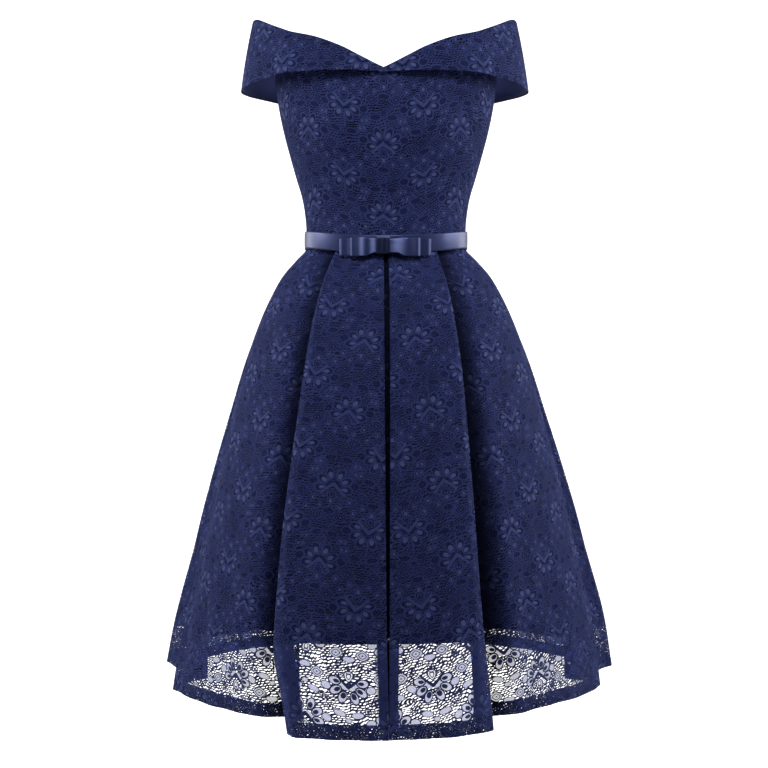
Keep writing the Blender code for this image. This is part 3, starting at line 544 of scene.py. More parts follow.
def lace_finish(name, holes):
    """Corded lace, its holes open, over a backing and painted dark as shade, or nearly closed by a
    tape.
    """
    made, tree, shader = new_material(name, Sheen_Weight=0.10, Sheen_Roughness=0.35,
                                      Sheen_Tint=COTTON_SHEEN, Specular_IOR_Level=0.06)
    parts = lace(tree, DRAWN_IN_WIDTH if holes == "backed" else NET_WIDTH)
    across, up, solid, cover = (parts[name] for name in ("across", "up", "solid", "cover"))
    stitch = ((across * 0.8 + up * 1.1) * 6.0).sine() * 0.5 + 0.5
    worked = 0.75 + stitch * 0.2
    layers = [(parts["mesh"], HALF_TONE_BLUE), (parts["line"] * 0.5, LEAF_BLUE),
              (parts["leaf"] * worked, LEAF_BLUE), (parts["petal"] * worked, PETAL_BLUE),
              (noise(tree, across, up, 0.02, 2.0) * 0.3, NET_BLUE)]
    if holes == "open":
        # painted shade: deep in the folds the lace is darkened towards near black
        tucked = held_value(tree, "tucked")
        # painted light: where only air is behind the lace, the half-tone mesh takes a pale blue for
        # the light from behind, and the solid parts there are painted darker against it
        backlit = parts["mesh"] * (1.0 - solid) * (1.0 - parts["line"]) * held_value(tree, "lit")
        layers += [(tucked * (2.0 - tucked) * 0.93, FOLD_SHADE_BLUE), (backlit, BACKLIT_BLUE),
                   (solid * held_value(tree, "sheer") * 0.75, NET_BLUE)]
        link(tree, shader, {"Alpha": cover})
    elif holes == "tape":
        pins = voronoi_edges(tree, across / PIN_WIDTH, up / PIN_HEIGHT, 0.9).fade(0.20, 0.32)
        link(tree, shader, {"Alpha": cover.most(pins)})
    else:
        # painted shade in the holes over the backing, deeper in some places than others
        depth = 0.55 + noise(tree, across, up, 0.035) * 0.9
        layers.append(((1.0 - cover) * depth.least(1.0), HOLE_SHADE_BLUE))
    thread = NET_BLUE
    for share, blue in layers:
        thread = blended(tree, share, thread, blue)
    link_surface(tree, shader, thread, 0.85 - solid * 0.2 + (1.0 - cover) * 0.08,
                 parts["height"] + solid * stitch * 0.15, 0.6, 0.7 * MM)
    return made


open_lace = lace_finish("open_lace", "open")
backed_lace = lace_finish("backed_lace", "backed")
hem_lace = lace_finish("hem_lace", "tape")
print("lace nodes:", len(open_lace.node_tree.nodes))

# %% Lining finish
# the skirt's lining is painted near black: a painted shade for the shadow it lies in under the
# lace, where it shows through the holes
SHADED_LINING_BLUE, SHADED_LINING_DARK = from_screen(7, 9, 30), from_screen(4, 6, 23)
FACING_BLUE, FACING_DARK = from_screen(37, 44, 85), from_screen(30, 37, 73)
WEAVE_WIDTH = 0.5                              # of two threads, in mm


def lining_finish(name, blue, dark):
    """A plain smooth lining, with a fine weave and a faint sheen."""
    made, tree, shader = new_material(name, Sheen_Weight=0.05, Sheen_Roughness=0.4,
                                      Specular_IOR_Level=0.08)
    across, up = cloth_millimetres(tree)
    weave = ripple(across, WEAVE_WIDTH) * ripple(up, WEAVE_WIDTH) * 0.5 + 0.5
    cloud = noise(tree, across, up, 0.05, 3.0)
    colour = blended(tree, weave * 0.25 + cloud * 0.3, blue, dark)
    link_surface(tree, shader, colour, 0.5 + cloud * 0.18, weave, 0.25, 0.1 * MM)
    return made


lining_cloth = lining_finish("lining_cloth", SHADED_LINING_BLUE, SHADED_LINING_DARK)
facing_cloth = lining_finish("facing_cloth", FACING_BLUE, FACING_DARK)
print("lining nodes:", len(lining_cloth.node_tree.nodes))

# %% [markdown]
# ## Cloth as a grid of points
#
# Every cloth piece here is a sheet worked out on a grid: rows go round the body and columns run
# down it. The grid knows where each point lies on the flat cloth, which becomes the `cloth`
# map. A Solidify modifier then gives the sheet its thickness, and a second material can go on
# its inner face.

# %% A sheet from a grid of points
SAME_PLACE = 0.01 * MM                         # points nearer than this are one point


def cloth_sheet(name, rows, flat, finish, wall, inner_finish=None, skipped=(), closed=False,
                values=None):
    """A cloth piece from rows of points and the same rows' places on the flat cloth.

    The right side of the cloth is on the right of the rows' travel, seen from above. No faces
    follow a skipped column: the next column lies on it, with a new place on the flat cloth.
    closed says that the last column or row lies on the first, and is to be joined to it.
    values, where given, holds named grids with a value for each point, for the finish to read.
    """
    high, wide = len(rows), len(rows[0])
    vertices = np.asarray(rows, float).reshape(-1, 3)
    flat = np.asarray(flat, float).reshape(-1, 2)
    falling = vertices[wide:2 * wide, 2].mean() < vertices[:wide, 2].mean()
    faces = []
    for r in range(high - 1):
        for c in set(range(wide - 1)) - set(skipped):
            a = r * wide + c
            face = (a, a + 1, a + wide + 1, a + wide)
            faces.append(face[::-1] if falling else face)
    mesh = bpy.data.meshes.new(name)
    mesh.from_pydata(vertices.tolist(), [], faces)
    corners = np.zeros(len(mesh.loops), int)
    mesh.loops.foreach_get("vertex_index", corners)
    layer = mesh.uv_layers.new(name="cloth")
    layer.data.foreach_set("uv", flat[corners].ravel())
    for title, grid in (values or {}).items():
        layer = mesh.attributes.new(title, "FLOAT", "POINT")
        layer.data.foreach_set("value", np.asarray(grid, np.float32).ravel())
    mesh.materials.append(finish)
    piece = bpy.data.objects.new(name, mesh)
    bpy.context.scene.collection.objects.link(piece)
    if skipped or closed:
        merged(piece)
    thicken(piece, wall, inner_finish)
    mesh.shade_smooth()
    return piece


def grid_of(levels, steps, place):
    """Rows of points, from a function of the shares of the way up and along."""
    return [[place(r / levels, c / steps) for c in range(steps + 1)] for r in range(levels + 1)]


def merged(piece):
    """Joins points that lie on each other, as when two gores are sewn together."""
    pick(piece)
    bpy.ops.object.mode_set(mode="EDIT")
    bpy.ops.mesh.select_all(action="SELECT")
    bpy.ops.mesh.remove_doubles(threshold=SAME_PLACE)
    bpy.ops.object.mode_set(mode="OBJECT")


def thicken(piece, wall, inner_finish):
    """Gives a sheet its thickness, half to each side, and its inner finish."""
    modifier = piece.modifiers.new("wall", "SOLIDIFY")
    modifier.thickness, modifier.offset = wall, 0.0
    modifier.use_even_offset = False
    if inner_finish:
        piece.data.materials.append(inner_finish)
        modifier.material_offset = 1
        modifier.material_offset_rim = 0
    pick(piece)
    bpy.ops.object.modifier_apply(modifier=modifier.name)
    bpy.ops.object.mode_set(mode="EDIT")
    bpy.ops.mesh.select_all(action="SELECT")
    bpy.ops.mesh.normals_make_consistent(inside=False)
    bpy.ops.object.mode_set(mode="OBJECT")


def lengths_along(grid, axis):
    """How far along its line each point of a grid is: down the columns if axis is 0, or along
    the rows if it is 1."""
    steps = np.linalg.norm(np.diff(grid, axis=axis), axis=2)
    return np.insert(np.cumsum(steps, axis=axis), 0, 0.0, axis=axis)


def triangles(piece):
    """How many triangles a piece's faces make."""
    return sum(len(face.vertices) - 2 for face in piece.data.polygons)


print("cloth helpers ready")

# %% [markdown]
# ## The pleated skirt
#
# The skirt is a flared ring of cloth, folded into deep pleats under the belt, and the folds
# open as they fall. The frame's solids already hold its form, from a table with one row for
# each corner of the pleated section. The same table is used here, with many more points: every
# corner is rounded by a small curve, and every run between two corners is bowed a little, as
# cloth is when it hangs round a body.

# %% Waist and flare
WAIST_HALF_WIDTH, WAIST_HALF_DEPTH = 0.1150, 0.0870
WAIST_DIP, DIP_SHARPNESS = 0.0123, 1.8
SKIRT_LENGTH, SKIRT_TOP = 0.657, 0.0003
FLARE_DROPS = (0.0, 0.02, 0.042, 0.078, 0.12, 0.18, 0.27, 0.38, 0.5, 0.62, 0.72, 0.82, 0.91, 1.0)
FLARE_SPREADS = (0.0, 0.006, 0.07, 0.165, 0.24, 0.325, 0.425, 0.52, 0.622, 0.718, 0.79, 0.872,
                 0.943, 1.0)
HIP_DROP, LOW_DROP = 0.27, 0.82
WAIST_CLEAR = 0.6                       # between the waist ellipse and the lace's middle, in mm


def smooth_value(stations, values, at):
    """The value there on a smooth curve through the values at the rising stations."""
    at = min(max(at, stations[0]), stations[-1])
    last = len(stations) - 1
    k = max(i for i in range(last) if stations[i] <= at)

    def slope(i):
        low, high = max(i - 1, 0), min(i + 1, last)
        return (values[high] - values[low]) / (stations[high] - stations[low])

    span = stations[k + 1] - stations[k]
    s = (at - stations[k]) / span
    rise = values[k + 1] - values[k]
    start, end = slope(k) * span, slope(k + 1) * span
    return values[k] + s * (start + s * (3 * rise - 2 * start - end + s * (start + end - 2 * rise)))


def waist_height(angle):
    """Height of the waist seam, with the angle in degrees from centre front."""
    return -WAIST_DIP * max(cos(radians(angle)), 0.0) ** DIP_SHARPNESS


def waist_point(angle, under):
    """A point of the waist ellipse, moved in by the cloth that lies over it."""
    across, along = sin(radians(angle)), -cos(radians(angle))
    normal = Vector((across / WAIST_HALF_WIDTH, along / WAIST_HALF_DEPTH)).normalized()
    return Vector((WAIST_HALF_WIDTH * across, WAIST_HALF_DEPTH * along)) - normal * under


def spread(drop):
    """How much of its flare the skirt has at that share of the way down."""
    return smooth_value(FLARE_DROPS, FLARE_SPREADS, drop)


# %% The folds, one row for each corner from centre front round to centre back
# name: waist degrees, mm of cloth over it, then (side, front-to-back) at hip, low and hem and
# the hem's lift, all in mm, where the lining ends, and 0 for a seam, 1 for a bend, 2 for a fold
RIGHT_FOLDS = {
    "centre_valley_back": (17.5, 8, (20, -142), (10.5, -184), (6.5, -200), 0, 0.82, 2),
    "centre_valley_wall": (17.5, 6, (22, -145.5), (12.5, -188), (8.5, -204), 0, 0.82, 2),
    "centre_ridge_wall": (1.75, 6, (1.8, -164.5), (-1, -251.5), (-3.6, -280.8), 0, 0.82, 2),
    "centre_ridge_panel": (1.75, 0, (2.8, -170.5), (-1.2, -258.5), (-3.5, -289), 0, 0.82, 2),
    "front_panel": (19.8, 0, (60, -165.5), (75, -257), (58.5, -284.5), 0, 0.82, 1),
    "front_ridge_panel": (38.4, 0, (104.5, -154.5), (136, -240), (118.5, -273), 0, 0.82, 2),
    "front_ridge_wall": (38.4, 6, (111.5, -145.5), (148.5, -223), (129, -248), 0, 0.82, 2),
    "front_valley_wall": (21.2, 6, (87, -119), (115, -159), (115, -171), 4, 0.82, 2),
    "front_valley_side": (21.2, 8, (90, -115), (120, -154), (119, -166), 4, 0.82, 2),
    "side_front": (50, 6, (132, -126), (175, -185), (174.5, -181), 6, 0.82, 1),
    "side_middle": (64, 1, (172, -84), (228, -122), (229, -130), 8, 0.85, 1),
    "side_back": (77, 0, (197, -33), (272, -50), (286, -50), 8, 0.875, 1),
    "side_ridge_panel": (88, 0, (203.5, 5), (289, 2), (311, 5), 6, 0.895, 2),
    "side_ridge_wall": (92, 0, (200, 11), (285, 18), (306, 26), 8, 0.9, 2),
    "side_valley_front": (96, 0, (184.5, 16.5), (254.5, 44.5), (267, 55), 12, 0.9, 2),
    "side_seam": (98.5, 0, (185, 19.5), (255, 47.5), (268, 58), 12, 0.9, 0),
    "side_valley_back": (101, 0, (185.5, 22.5), (255.5, 50.5), (269, 61), 12, 0.9, 2),
    "rear_ridge_side": (110, 0, (208, 48), (312, 112), (340, 142), 22, 0.9, 2),
    "rear_ridge_back": (117, 0, (205, 64), (304, 134), (332, 165), 20, 0.895, 2),
    "rear_hollow": (127, 3, (180, 93), (262, 154), (283, 180), 20, 0.87, 1),
    "rear_wave": (133, 7, (145, 129), (208, 203), (225, 233), 26, 0.85, 1),
    "back_valley_side": (158.8, 8, (93, 119), (122, 172), (122, 183), 43, 0.85, 2),
    "back_valley_wall": (158.8, 6, (90, 123), (118, 176), (118, 188), 43, 0.85, 2),
    "back_ridge_wall": (141.6, 6, (112, 140), (142, 220), (140, 247), 34, 0.85, 2),
    "back_ridge_panel": (141.6, 0, (105, 149), (132, 236), (129, 270), 32, 0.85, 2),
    "back_panel": (160, 0, (60, 160), (72, 252), (66, 284), 32, 0.85, 1),
    "centre_back": (180, 0, (0, 164), (0, 256), (0, 287), 33, 0.85, 0),
}
LEFT_CHANGES = {
    "centre_valley_back": (17.5, 8, (23.5, -142), (15.5, -184), (13.5, -200), 0, 0.82, 2),
    "centre_valley_wall": (17.5, 6, (25.5, -145.5), (17.5, -188), (15.5, -204), 0, 0.82, 2),
    "centre_ridge_wall": (1.75, 6, (5, -164.5), (4.2, -251.5), (3.4, -280), 0, 0.82, 2),
    "centre_ridge_panel": (1.75, 0, (6, -170.5), (4.2, -258.5), (3.2, -287.8), 0, 0.82, 2),
    "front_panel": (19.8, 0, (58, -165.5), (70, -254), (68, -276), 0, 0.82, 1),
    "front_ridge_panel": (38.4, 0, (96.5, -156), (119, -238), (123, -256), 2, 0.82, 2),
    "front_ridge_wall": (38.4, 6, (103, -147.5), (129, -223), (141, -238), 2, 0.82, 2),
    "front_valley_wall": (21.2, 6, (82, -119), (111, -159), (118, -171), 4, 0.82, 2),
    "front_valley_side": (21.2, 8, (85, -115), (116, -154), (123, -166), 4, 0.82, 2),
    "side_front": (50, 6, (123, -125), (160, -182), (170, -174), 8, 0.82, 1),
    "side_middle": (64, 1, (173, -84), (232, -117), (240, -118), 12, 0.86, 1),
    "side_back": (77, 0, (199, -33), (277, -47), (290, -45), 12, 0.89, 1),
    "side_ridge_panel": (88, 0, (206, 5), (295, 2), (313, 8), 12, 0.915, 2),
    "side_ridge_wall": (92, 0, (202.5, 11), (291, 18), (308, 28), 12, 0.915, 2),
    "rear_ridge_side": (110, 0, (212.5, 48), (326, 110), (350, 133), 17, 0.9, 2),
    "rear_ridge_back": (117, 0, (209, 64), (315, 133), (340, 158), 17, 0.895, 2),
}


def skirt_folds():
    """The folds of the whole skirt with their sides, from centre back round and back again."""
    right = [(name, row, -1) for name, row in RIGHT_FOLDS.items()]
    left = [(name, LEFT_CHANGES.get(name, row), 1) for name, row in RIGHT_FOLDS.items()]
    return right[::-1] + left


def fold_point(row, side, drop):
    """Where that corner is, at that share of the way down the skirt."""
    angle, under, hip, low, hem, lift = row[:6]
    waist = waist_point(angle, (under + WAIST_CLEAR) * MM)
    stations = (0.0, spread(HIP_DROP), spread(LOW_DROP), 1.0)
    x, y = (smooth_value(stations, (waist[k], hip[k] / 1000, low[k] / 1000, hem[k] / 1000),
                         spread(drop)) for k in (0, 1))
    top = waist_height(angle) - SKIRT_TOP
    return Vector((side * x, y, top + (lift / 1000 - SKIRT_LENGTH - top) * drop))


print(len(RIGHT_FOLDS), "corners in each half of the pleated section")

# %% One level of the skirt as a smooth line
FOLD_ROUND, BEND_ROUND = 0.30, 0.48     # share of the shorter neighbour that a corner rounds off
FOLD_STEPS, BEND_STEPS = 6, 8
RUN_SPACING = 0.0075                    # between two points along a run, at the hem
WAIST_RADIUS, HEM_RADIUS = 0.10, 0.34   # of the curve that a run is bowed to


def rightwards(a, b):
    """The level direction on the right of a walk from a to b."""
    return Vector((b.y - a.y, a.x - b.x, 0.0)).normalized()


def moved_out(path, distance):
    """The path with each point moved level to the right of its travel, corners kept sharp."""
    sides = [rightwards(a, b) for a, b in zip(path, path[1:])]
    moved = []
    for i, point in enumerate(path):
        first, second = sides[max(i - 1, 0)], sides[min(i, len(sides) - 1)]
        middle = (first + second).normalized()
        moved.append(point + middle * (distance / max(middle.dot(first), 0.5)))
    return moved


def arch(share):
    """0 at both ends of a share of 0 to 1, and 1 at its middle."""
    return 4 * share * (1 - share)


def corner_trim(points, kinds, i):
    """How far from a corner its rounding starts."""
    if i in (0, len(points) - 1) or kinds[i] == 0:
        return 0.0
    share = FOLD_ROUND if kinds[i] == 2 else BEND_ROUND
    return share * min((points[i - 1] - points[i]).length, (points[i + 1] - points[i]).length)


def level_line(points, kinds, run_counts, radius):
    """A smooth line through one level's corners, always with the same number of points."""
    line = []
    last = len(points) - 1
    trims = [corner_trim(points, kinds, i) for i in range(last + 1)]
    for i, point in enumerate(points):
        if trims[i]:
            start = point + (points[i - 1] - point).normalized() * trims[i]
            end = point + (points[i + 1] - point).normalized() * trims[i]
            steps = FOLD_STEPS if kinds[i] == 2 else BEND_STEPS
            for j in range(steps + 1):
                s = j / steps
                line.append(start * (1 - s) ** 2 + point * 2 * s * (1 - s) + end * s * s)
        else:
            line.append(point.copy())
        if i < last:
            run = points[i + 1] - point
            a = point + run.normalized() * trims[i]
            b = points[i + 1] - run.normalized() * trims[i + 1]
            bow = rightwards(point, points[i + 1]) * ((b - a).length ** 2 / (8 * radius))
            for j in range(1, run_counts[i]):
                s = j / run_counts[i]
                line.append(a.lerp(b, s) + bow * arch(s))
    return line


def level_columns(kinds, run_counts):
    """The column at the middle of each corner."""
    columns, at = [], 0
    for i, kind in enumerate(kinds):
        ends = i in (0, len(kinds) - 1)
        steps = 0 if ends or kind == 0 else (FOLD_STEPS if kind == 2 else BEND_STEPS)
        columns.append(at + steps // 2)
        at += steps + (run_counts[i] if i < len(run_counts) else 0)
    return columns


# %% [markdown]
# Gores: a flared skirt is cut in pieces, so its lace doesn't run round it in one unbroken
# sheet. Each gore has its grain line on one fold. Distances from that line, measured round the
# body, and distances down from the waist give a point's place on the flat cloth. The joins
# between the gores lie deep in the folds, where they don't show.

# %% A piece of the skirt at any depth inside the lace
# where a gore ends, the fold its grain follows, and its flowers' shift (mm) and turn (degrees)
GORE_ENDS = ("side_seam", "front_valley_side", "centre_valley_back", "back_valley_side")
GRAIN_FOLDS = ("front_panel", "side_middle", "rear_hollow", "back_panel")
FLOWER_SHIFTS = {("front_panel", -1): (-50.0, 57.5, 8.0), ("front_panel", 1): (-76.0, 55.0, -8.0),
                 ("side_middle", -1): (10.0, 20.0, 6.0), ("side_middle", 1): (-10.0, 20.0, -6.0),
                 ("rear_hollow", -1): (0.0, 0.0, 0.0), ("rear_hollow", 1): (0.0, 0.0, 0.0),
                 ("back_panel", -1): (28.5, 10.0, 0.0), ("back_panel", 1): (-28.5, 10.0, 0.0)}
FLUTE_DEPTH, FLUTE_LENGTH, SLOW_LENGTH = 0.0022, 0.062, 0.171
FLUTES_FROM = 0.12        # where the soft waves start, as a share of the way down
FOLD_HOLD = 0.022         # a pressed fold or a seam holds the cloth still this far from it


def skirt_sections(first, last):
    """The folds of one piece, from one place in the list of folds to another."""
    folds = skirt_folds()[first:last + 1]
    kinds = [row[7] for _, row, _ in folds]
    hem = [fold_point(row, side, 1.0) for _, row, side in folds]
    counts = [max(2, round((b - a).length / RUN_SPACING)) for a, b in zip(hem, hem[1:])]
    return folds, kinds, counts


def flutes(along, drop):
    """Small soft waves that grow towards the hem, from the distance along the hem."""
    grown = max(drop - FLUTES_FROM, 0.0) ** 0.8
    wave = sin(2 * pi * along / FLUTE_LENGTH + 1.3 * sin(along * 23.0))
    slow = sin(2 * pi * along / SLOW_LENGTH + 0.9)
    return grown * FLUTE_DEPTH * (0.6 * wave + 0.9 * slow)


def skirt_grid(section, drops, depth, ends=None):
    """Rows of points of one skirt piece, that many metres inside the lace, and its columns.

    ends, where given, holds each fold's own last drop, which the drops are stretched to.
    """
    folds, kinds, counts = section
    rows = []
    for drop in drops:
        reach = [drop if ends is None else drop * end / drops[-1] for end in ends or folds]
        points = [fold_point(row, side, r) for (_, row, side), r in zip(folds, reach)]
        radius = WAIST_RADIUS + (HEM_RADIUS - WAIST_RADIUS) * spread(min(drop, 1.0))
        rows.append(level_line(moved_out(points, -depth), kinds, counts, radius))
    hem = [fold_point(row, side, 1.0) for _, row, side in folds]
    hem = level_line(hem, kinds, counts, HEM_RADIUS)
    along = lengths_along(np.asarray([hem], float), 1)[0]
    columns = level_columns(kinds, counts)
    held = [0, len(kinds) - 1] + [i for i, kind in enumerate(kinds) if kind == 2]
    pressed = [along[columns[i]] for i in held]
    free = [min([1.0] + [abs(at - fold) / FOLD_HOLD for fold in pressed]) for at in along]
    shaped = []
    for drop, line in zip(drops, rows):
        outs = [rightwards(a, b) for a, b in zip(line[:1] + line, line[1:] + line[-1:])]
        shaped.append([point + out * flutes(at, drop) * loose
                       for point, out, at, loose in zip(line, outs, along, free)])
    return shaped, columns


def skirt_flat(section, rows, columns, marks=None):
    """The grid cut gore by gore, each point's place on the flat cloth, the doubled columns,
    and the marks of each point, where any are given."""
    folds = section[0]
    grid = np.asarray(rows, float)
    marked = grid if marks is None else np.concatenate([grid, marks], axis=2)
    round_body, down = lengths_along(grid, 1), lengths_along(grid, 0)
    bounds = sorted({0, len(rows[0]) - 1} | {columns[i] for i, (name, _, _) in enumerate(folds)
                                            if name in GORE_ENDS})
    wide_rows, wide_flat, skipped, offset = [], [], [], 0
    for a, b in zip(bounds, bounds[1:]):
        grain = [(columns[i], name, side) for i, (name, _, side) in enumerate(folds)
                 if a < columns[i] < b and name in GRAIN_FOLDS]
        column, name, side = grain[0] if grain else ((a + b) // 2, None, 1)
        across, up, turn = FLOWER_SHIFTS.get((name, side), (0.0, 0.0, 0.0))
        u = round_body[:, a:b + 1] - round_body[:, column:column + 1]
        v = 0.0 * u - down[:, column:column + 1]
        turn = radians(turn)
        flat = np.stack([u * cos(turn) - v * sin(turn) + across * MM,
                         u * sin(turn) + v * cos(turn) + up * MM], axis=2)
        wide_rows.append(marked[:, a:b + 1])
        wide_flat.append(flat)
        offset += b - a + 1
        skipped.append(offset - 1)
    wide = np.concatenate(wide_rows, axis=1)
    return wide[:, :, :3], np.concatenate(wide_flat, axis=1), skipped[:-1], wide[:, :, 3:]


print("gores end at:", ", ".join(GORE_ENDS))

# %% The lace skirt, its turned-up hem and its lining
LACE_STEPS, LINING_STEPS, HEM_STEPS = 84, 56, 5
LACE_SHELL, LINING_SHELL = 0.4 * MM, 0.5 * MM
LINING_DEPTH, HEM_DEPTH = 1.5 * MM, 1.1 * MM
HEM_SHARE = 0.971                       # where the turned-up hem ends, of the way down
SHEER_EDGE = 0.006                      # how softly the sheer band starts, as a share
# beside these folds the lace lies double: fold and side (0 for both), and how far that reaches
FOLD_STRIPS = {("centre_ridge_panel", 0): 9 * MM, ("centre_ridge_wall", 0): 9 * MM,
               ("centre_valley_back", 0): 9 * MM, ("centre_valley_wall", 0): 9 * MM,
               ("front_ridge_panel", 1): 11 * MM, ("front_ridge_panel", -1): 16 * MM}
STRIP_SOFT = 1.5 * MM                   # over which the doubling fades out

# painted shade inside these folds, where little light falls: darkest this near their corner, clear
# that far off
FOLD_SHADE_NEAR, FOLD_SHADE_FAR = 15 * MM, 56 * MM
SHADED_FOLDS = ("front_valley_side", "front_valley_wall", "centre_valley_back",
                "centre_valley_wall", "back_valley_side", "back_valley_wall")

# how strongly light from behind shows in the lace at these folds: most where nothing is near it
FAINTLY_LIT = 0.35
LIT_PANELS = {"centre_ridge_panel": 1.0, "front_panel": 1.0, "front_ridge_panel": 1.0,
              "side_front": FAINTLY_LIT, "side_middle": FAINTLY_LIT,
              "back_ridge_panel": 1.0, "back_panel": 1.0, "centre_back": 1.0}

fold_names = [name for name, _, _ in skirt_folds()]
right_seam = fold_names.index("side_seam")
left_seam = len(fold_names) - 1 - fold_names[::-1].index("side_seam")
SKIRT_PIECES = (("back_right", 0, right_seam), ("front", right_seam, left_seam),
                ("back_left", left_seam, len(fold_names) - 1))


def drops_down(steps, end=1.0):
    """Shares of the way down, closer together near the waist where the form turns fast."""
    shares = [k / steps for k in range(steps + 1)]
    return [end * (0.55 * s + 0.45 * s * s) for s in shares]


def declare_cloth(piece, rows):
    """Attaches a cloth piece to the dress's body; the rows are not used."""
    grid = np.asarray(rows, float)
    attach(piece, "dress")


def below_lining(section, columns, drops, rows):
    """Four values for each point of the lace: how far only air is behind it, as below the
    lining's hem, how far it lies double there, as beside a fold, how much painted shade it
    gets deep in a fold, and how much painted light from behind shows through it."""
    ends = np.interp(range(len(rows[0])), columns, [row[6] for _, row, _ in section[0]])
    drops = np.array(drops)[:, None]
    below = np.clip((drops - ends[None]) / SHEER_EDGE, 0.0, 1.0)
    below *= np.clip((HEM_SHARE - drops) / SHEER_EDGE, 0.0, 1.0)
    hem = np.asarray(rows[-1], float)
    single, tucked = np.ones(len(hem)), np.zeros(len(hem))
    for column, (name, _, side) in zip(columns, section[0]):
        away = np.linalg.norm(hem - hem[column], axis=1)
        if name in SHADED_FOLDS:
            near, far = FOLD_SHADE_NEAR, FOLD_SHADE_FAR
            tucked = np.maximum(tucked, np.clip((far - away) / (far - near), 0.0, 1.0))
        strip = FOLD_STRIPS.get((name, side), FOLD_STRIPS.get((name, 0)))
        if strip:
            single = np.minimum(single, np.clip((away - strip) / STRIP_SOFT, 0.0, 1.0))
    names = [name for name, _, _ in section[0]]
    lit = np.interp(range(len(hem)), columns, [LIT_PANELS.get(name, 0.0) for name in names])
    lit = np.where(lit > 0.99, lit, np.minimum(lit, FAINTLY_LIT))
    return np.stack([below * single, below * (1 - single), tucked + 0.0 * below,
                     below * single * lit], axis=2)


def skirt_sheet(name, section, grid, finish, shell, marks=None):
    """One sheet of the skirt, cut into its gores, with the values that its finish reads."""
    rows, flat, skipped, marks = skirt_flat(section, *grid, marks)
    titles = ("sheer", "doubled", "tucked", "lit")[:marks.shape[2]]
    return cloth_sheet(name, rows, flat, finish, shell, skipped=skipped,
                       values={title: marks[:, :, k] for k, title in enumerate(titles)})


lace_drops = drops_down(LACE_STEPS)
hem_drops = [HEM_SHARE + (1.0 - HEM_SHARE) * k / HEM_STEPS for k in range(HEM_STEPS + 1)]
for ending, first, last in SKIRT_PIECES:
    section = skirt_sections(first, last)
    rows, columns = skirt_grid(section, lace_drops, 0.0)
    piece = skirt_sheet("skirt_lace_" + ending, section, (rows, columns), open_lace, LACE_SHELL,
                        below_lining(section, columns, lace_drops, rows))
    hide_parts("skirt_" + ending)
    hem = skirt_sheet("hem_turn_" + ending, section, skirt_grid(section, hem_drops, HEM_DEPTH),
                      hem_lace, LACE_SHELL)
    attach(hem, "dress")
    declare_cloth(piece, rows)

# %% The lining
LINING_DROP = 0.9                       # of its longest part, as a share of the way down

for ending, first, last in SKIRT_PIECES:
    section = skirt_sections(first, last)
    ends = [row[6] for _, row, _ in section[0]]
    grid = skirt_grid(section, drops_down(LINING_STEPS, LINING_DROP), LINING_DEPTH, ends)
    piece = skirt_sheet("skirt_lining_" + ending, section, grid, lining_cloth, LINING_SHELL)
    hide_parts("lining_" + ending)
    declare_cloth(piece, grid[0])

# %% [markdown]
# ## The bodice
#
# The bodice is lace sewn flat on a plain lining, cut close to the body: one piece in front,
# two at the back with the zip between them. It could be shrink-wrapped on a figure, but a worn
# garment without a wearer is easier as a formula: the size of a rounded section at each height,
# with two soft swellings for the bust. The same formula made the frame's solids. A fine grid on
# it shows what they can't: seams that sink in a little, and the shallow creases above the waist.

# %% The bodice as a formula
# height: half width, depth in front, depth at the back, squareness
BODICE_SECTIONS = {
    0.000: (0.1150, 0.0870, 0.0870, 2.00), 0.030: (0.1165, 0.0885, 0.0880, 2.05),
    0.060: (0.1212, 0.0950, 0.0900, 2.10), 0.090: (0.1300, 0.1060, 0.0930, 2.15),
    0.120: (0.1385, 0.1150, 0.0960, 2.25), 0.150: (0.1465, 0.1190, 0.0985, 2.40),
    0.180: (0.1530, 0.1190, 0.1005, 2.60), 0.210: (0.1577, 0.1175, 0.1020, 2.80),
    0.240: (0.1605, 0.1160, 0.1030, 3.00), 0.270: (0.1615, 0.1150, 0.1030, 3.00),
}
BODICE_TOPS = {0: 0.2226, 14: 0.2325, 28: 0.2450, 44: 0.2610, 58: 0.2670, 74: 0.2450,
               90: 0.2330, 108: 0.2330, 125: 0.2440, 142: 0.2500, 180: 0.2500}
BUST_HEIGHT, BUST_SIDE, BUST_SPREAD, BUST_FULLNESS = 0.150, 0.070, 0.048, 0.006


def bodice_point(angle, height):
    """A point of the bodice's outer face, with the angle in degrees from centre front."""
    half_width, front, back, squareness = (
        smooth_value(list(BODICE_SECTIONS), [row[k] for row in BODICE_SECTIONS.values()], height)
        for k in range(4))
    across, along = sin(radians(angle)), -cos(radians(angle))
    depth = front if along < 0 else back
    reach = (abs(across / half_width) ** squareness
             + abs(along / depth) ** squareness) ** (-1 / squareness)
    x, y = across * reach, along * reach
    if along < 0:
        off = hypot(abs(x) - BUST_SIDE, height - BUST_HEIGHT) / BUST_SPREAD
        y -= BUST_FULLNESS * max(1 - off * off, 0.0) ** 2
    return Vector((x, y, height))


def bodice_top(angle):
    """Height of the bodice's top edge, with the angle in degrees from centre front."""
    return smooth_value(list(BODICE_TOPS), list(BODICE_TOPS.values()), abs(angle))


print(f"bust {2 * BODICE_SECTIONS[0.150][0] * 1000:.0f} mm across")

# %% Bodice pieces
BODICE_SHELL, BODICE_STEP, BODICE_LEVELS = 1.6 * MM, 1.5, 72
BODICE_INSIDE = BODICE_SHELL / 2 + 0.1 * MM    # from the solid's outer face to the cloth's middle
SEAM_SINK, SEAM_SOFT = 0.5 * MM, 2.2 * MM
SEAM_RADIUS, CREASE_RADIUS = 0.13, 0.12        # of the body, for distances round it in metres
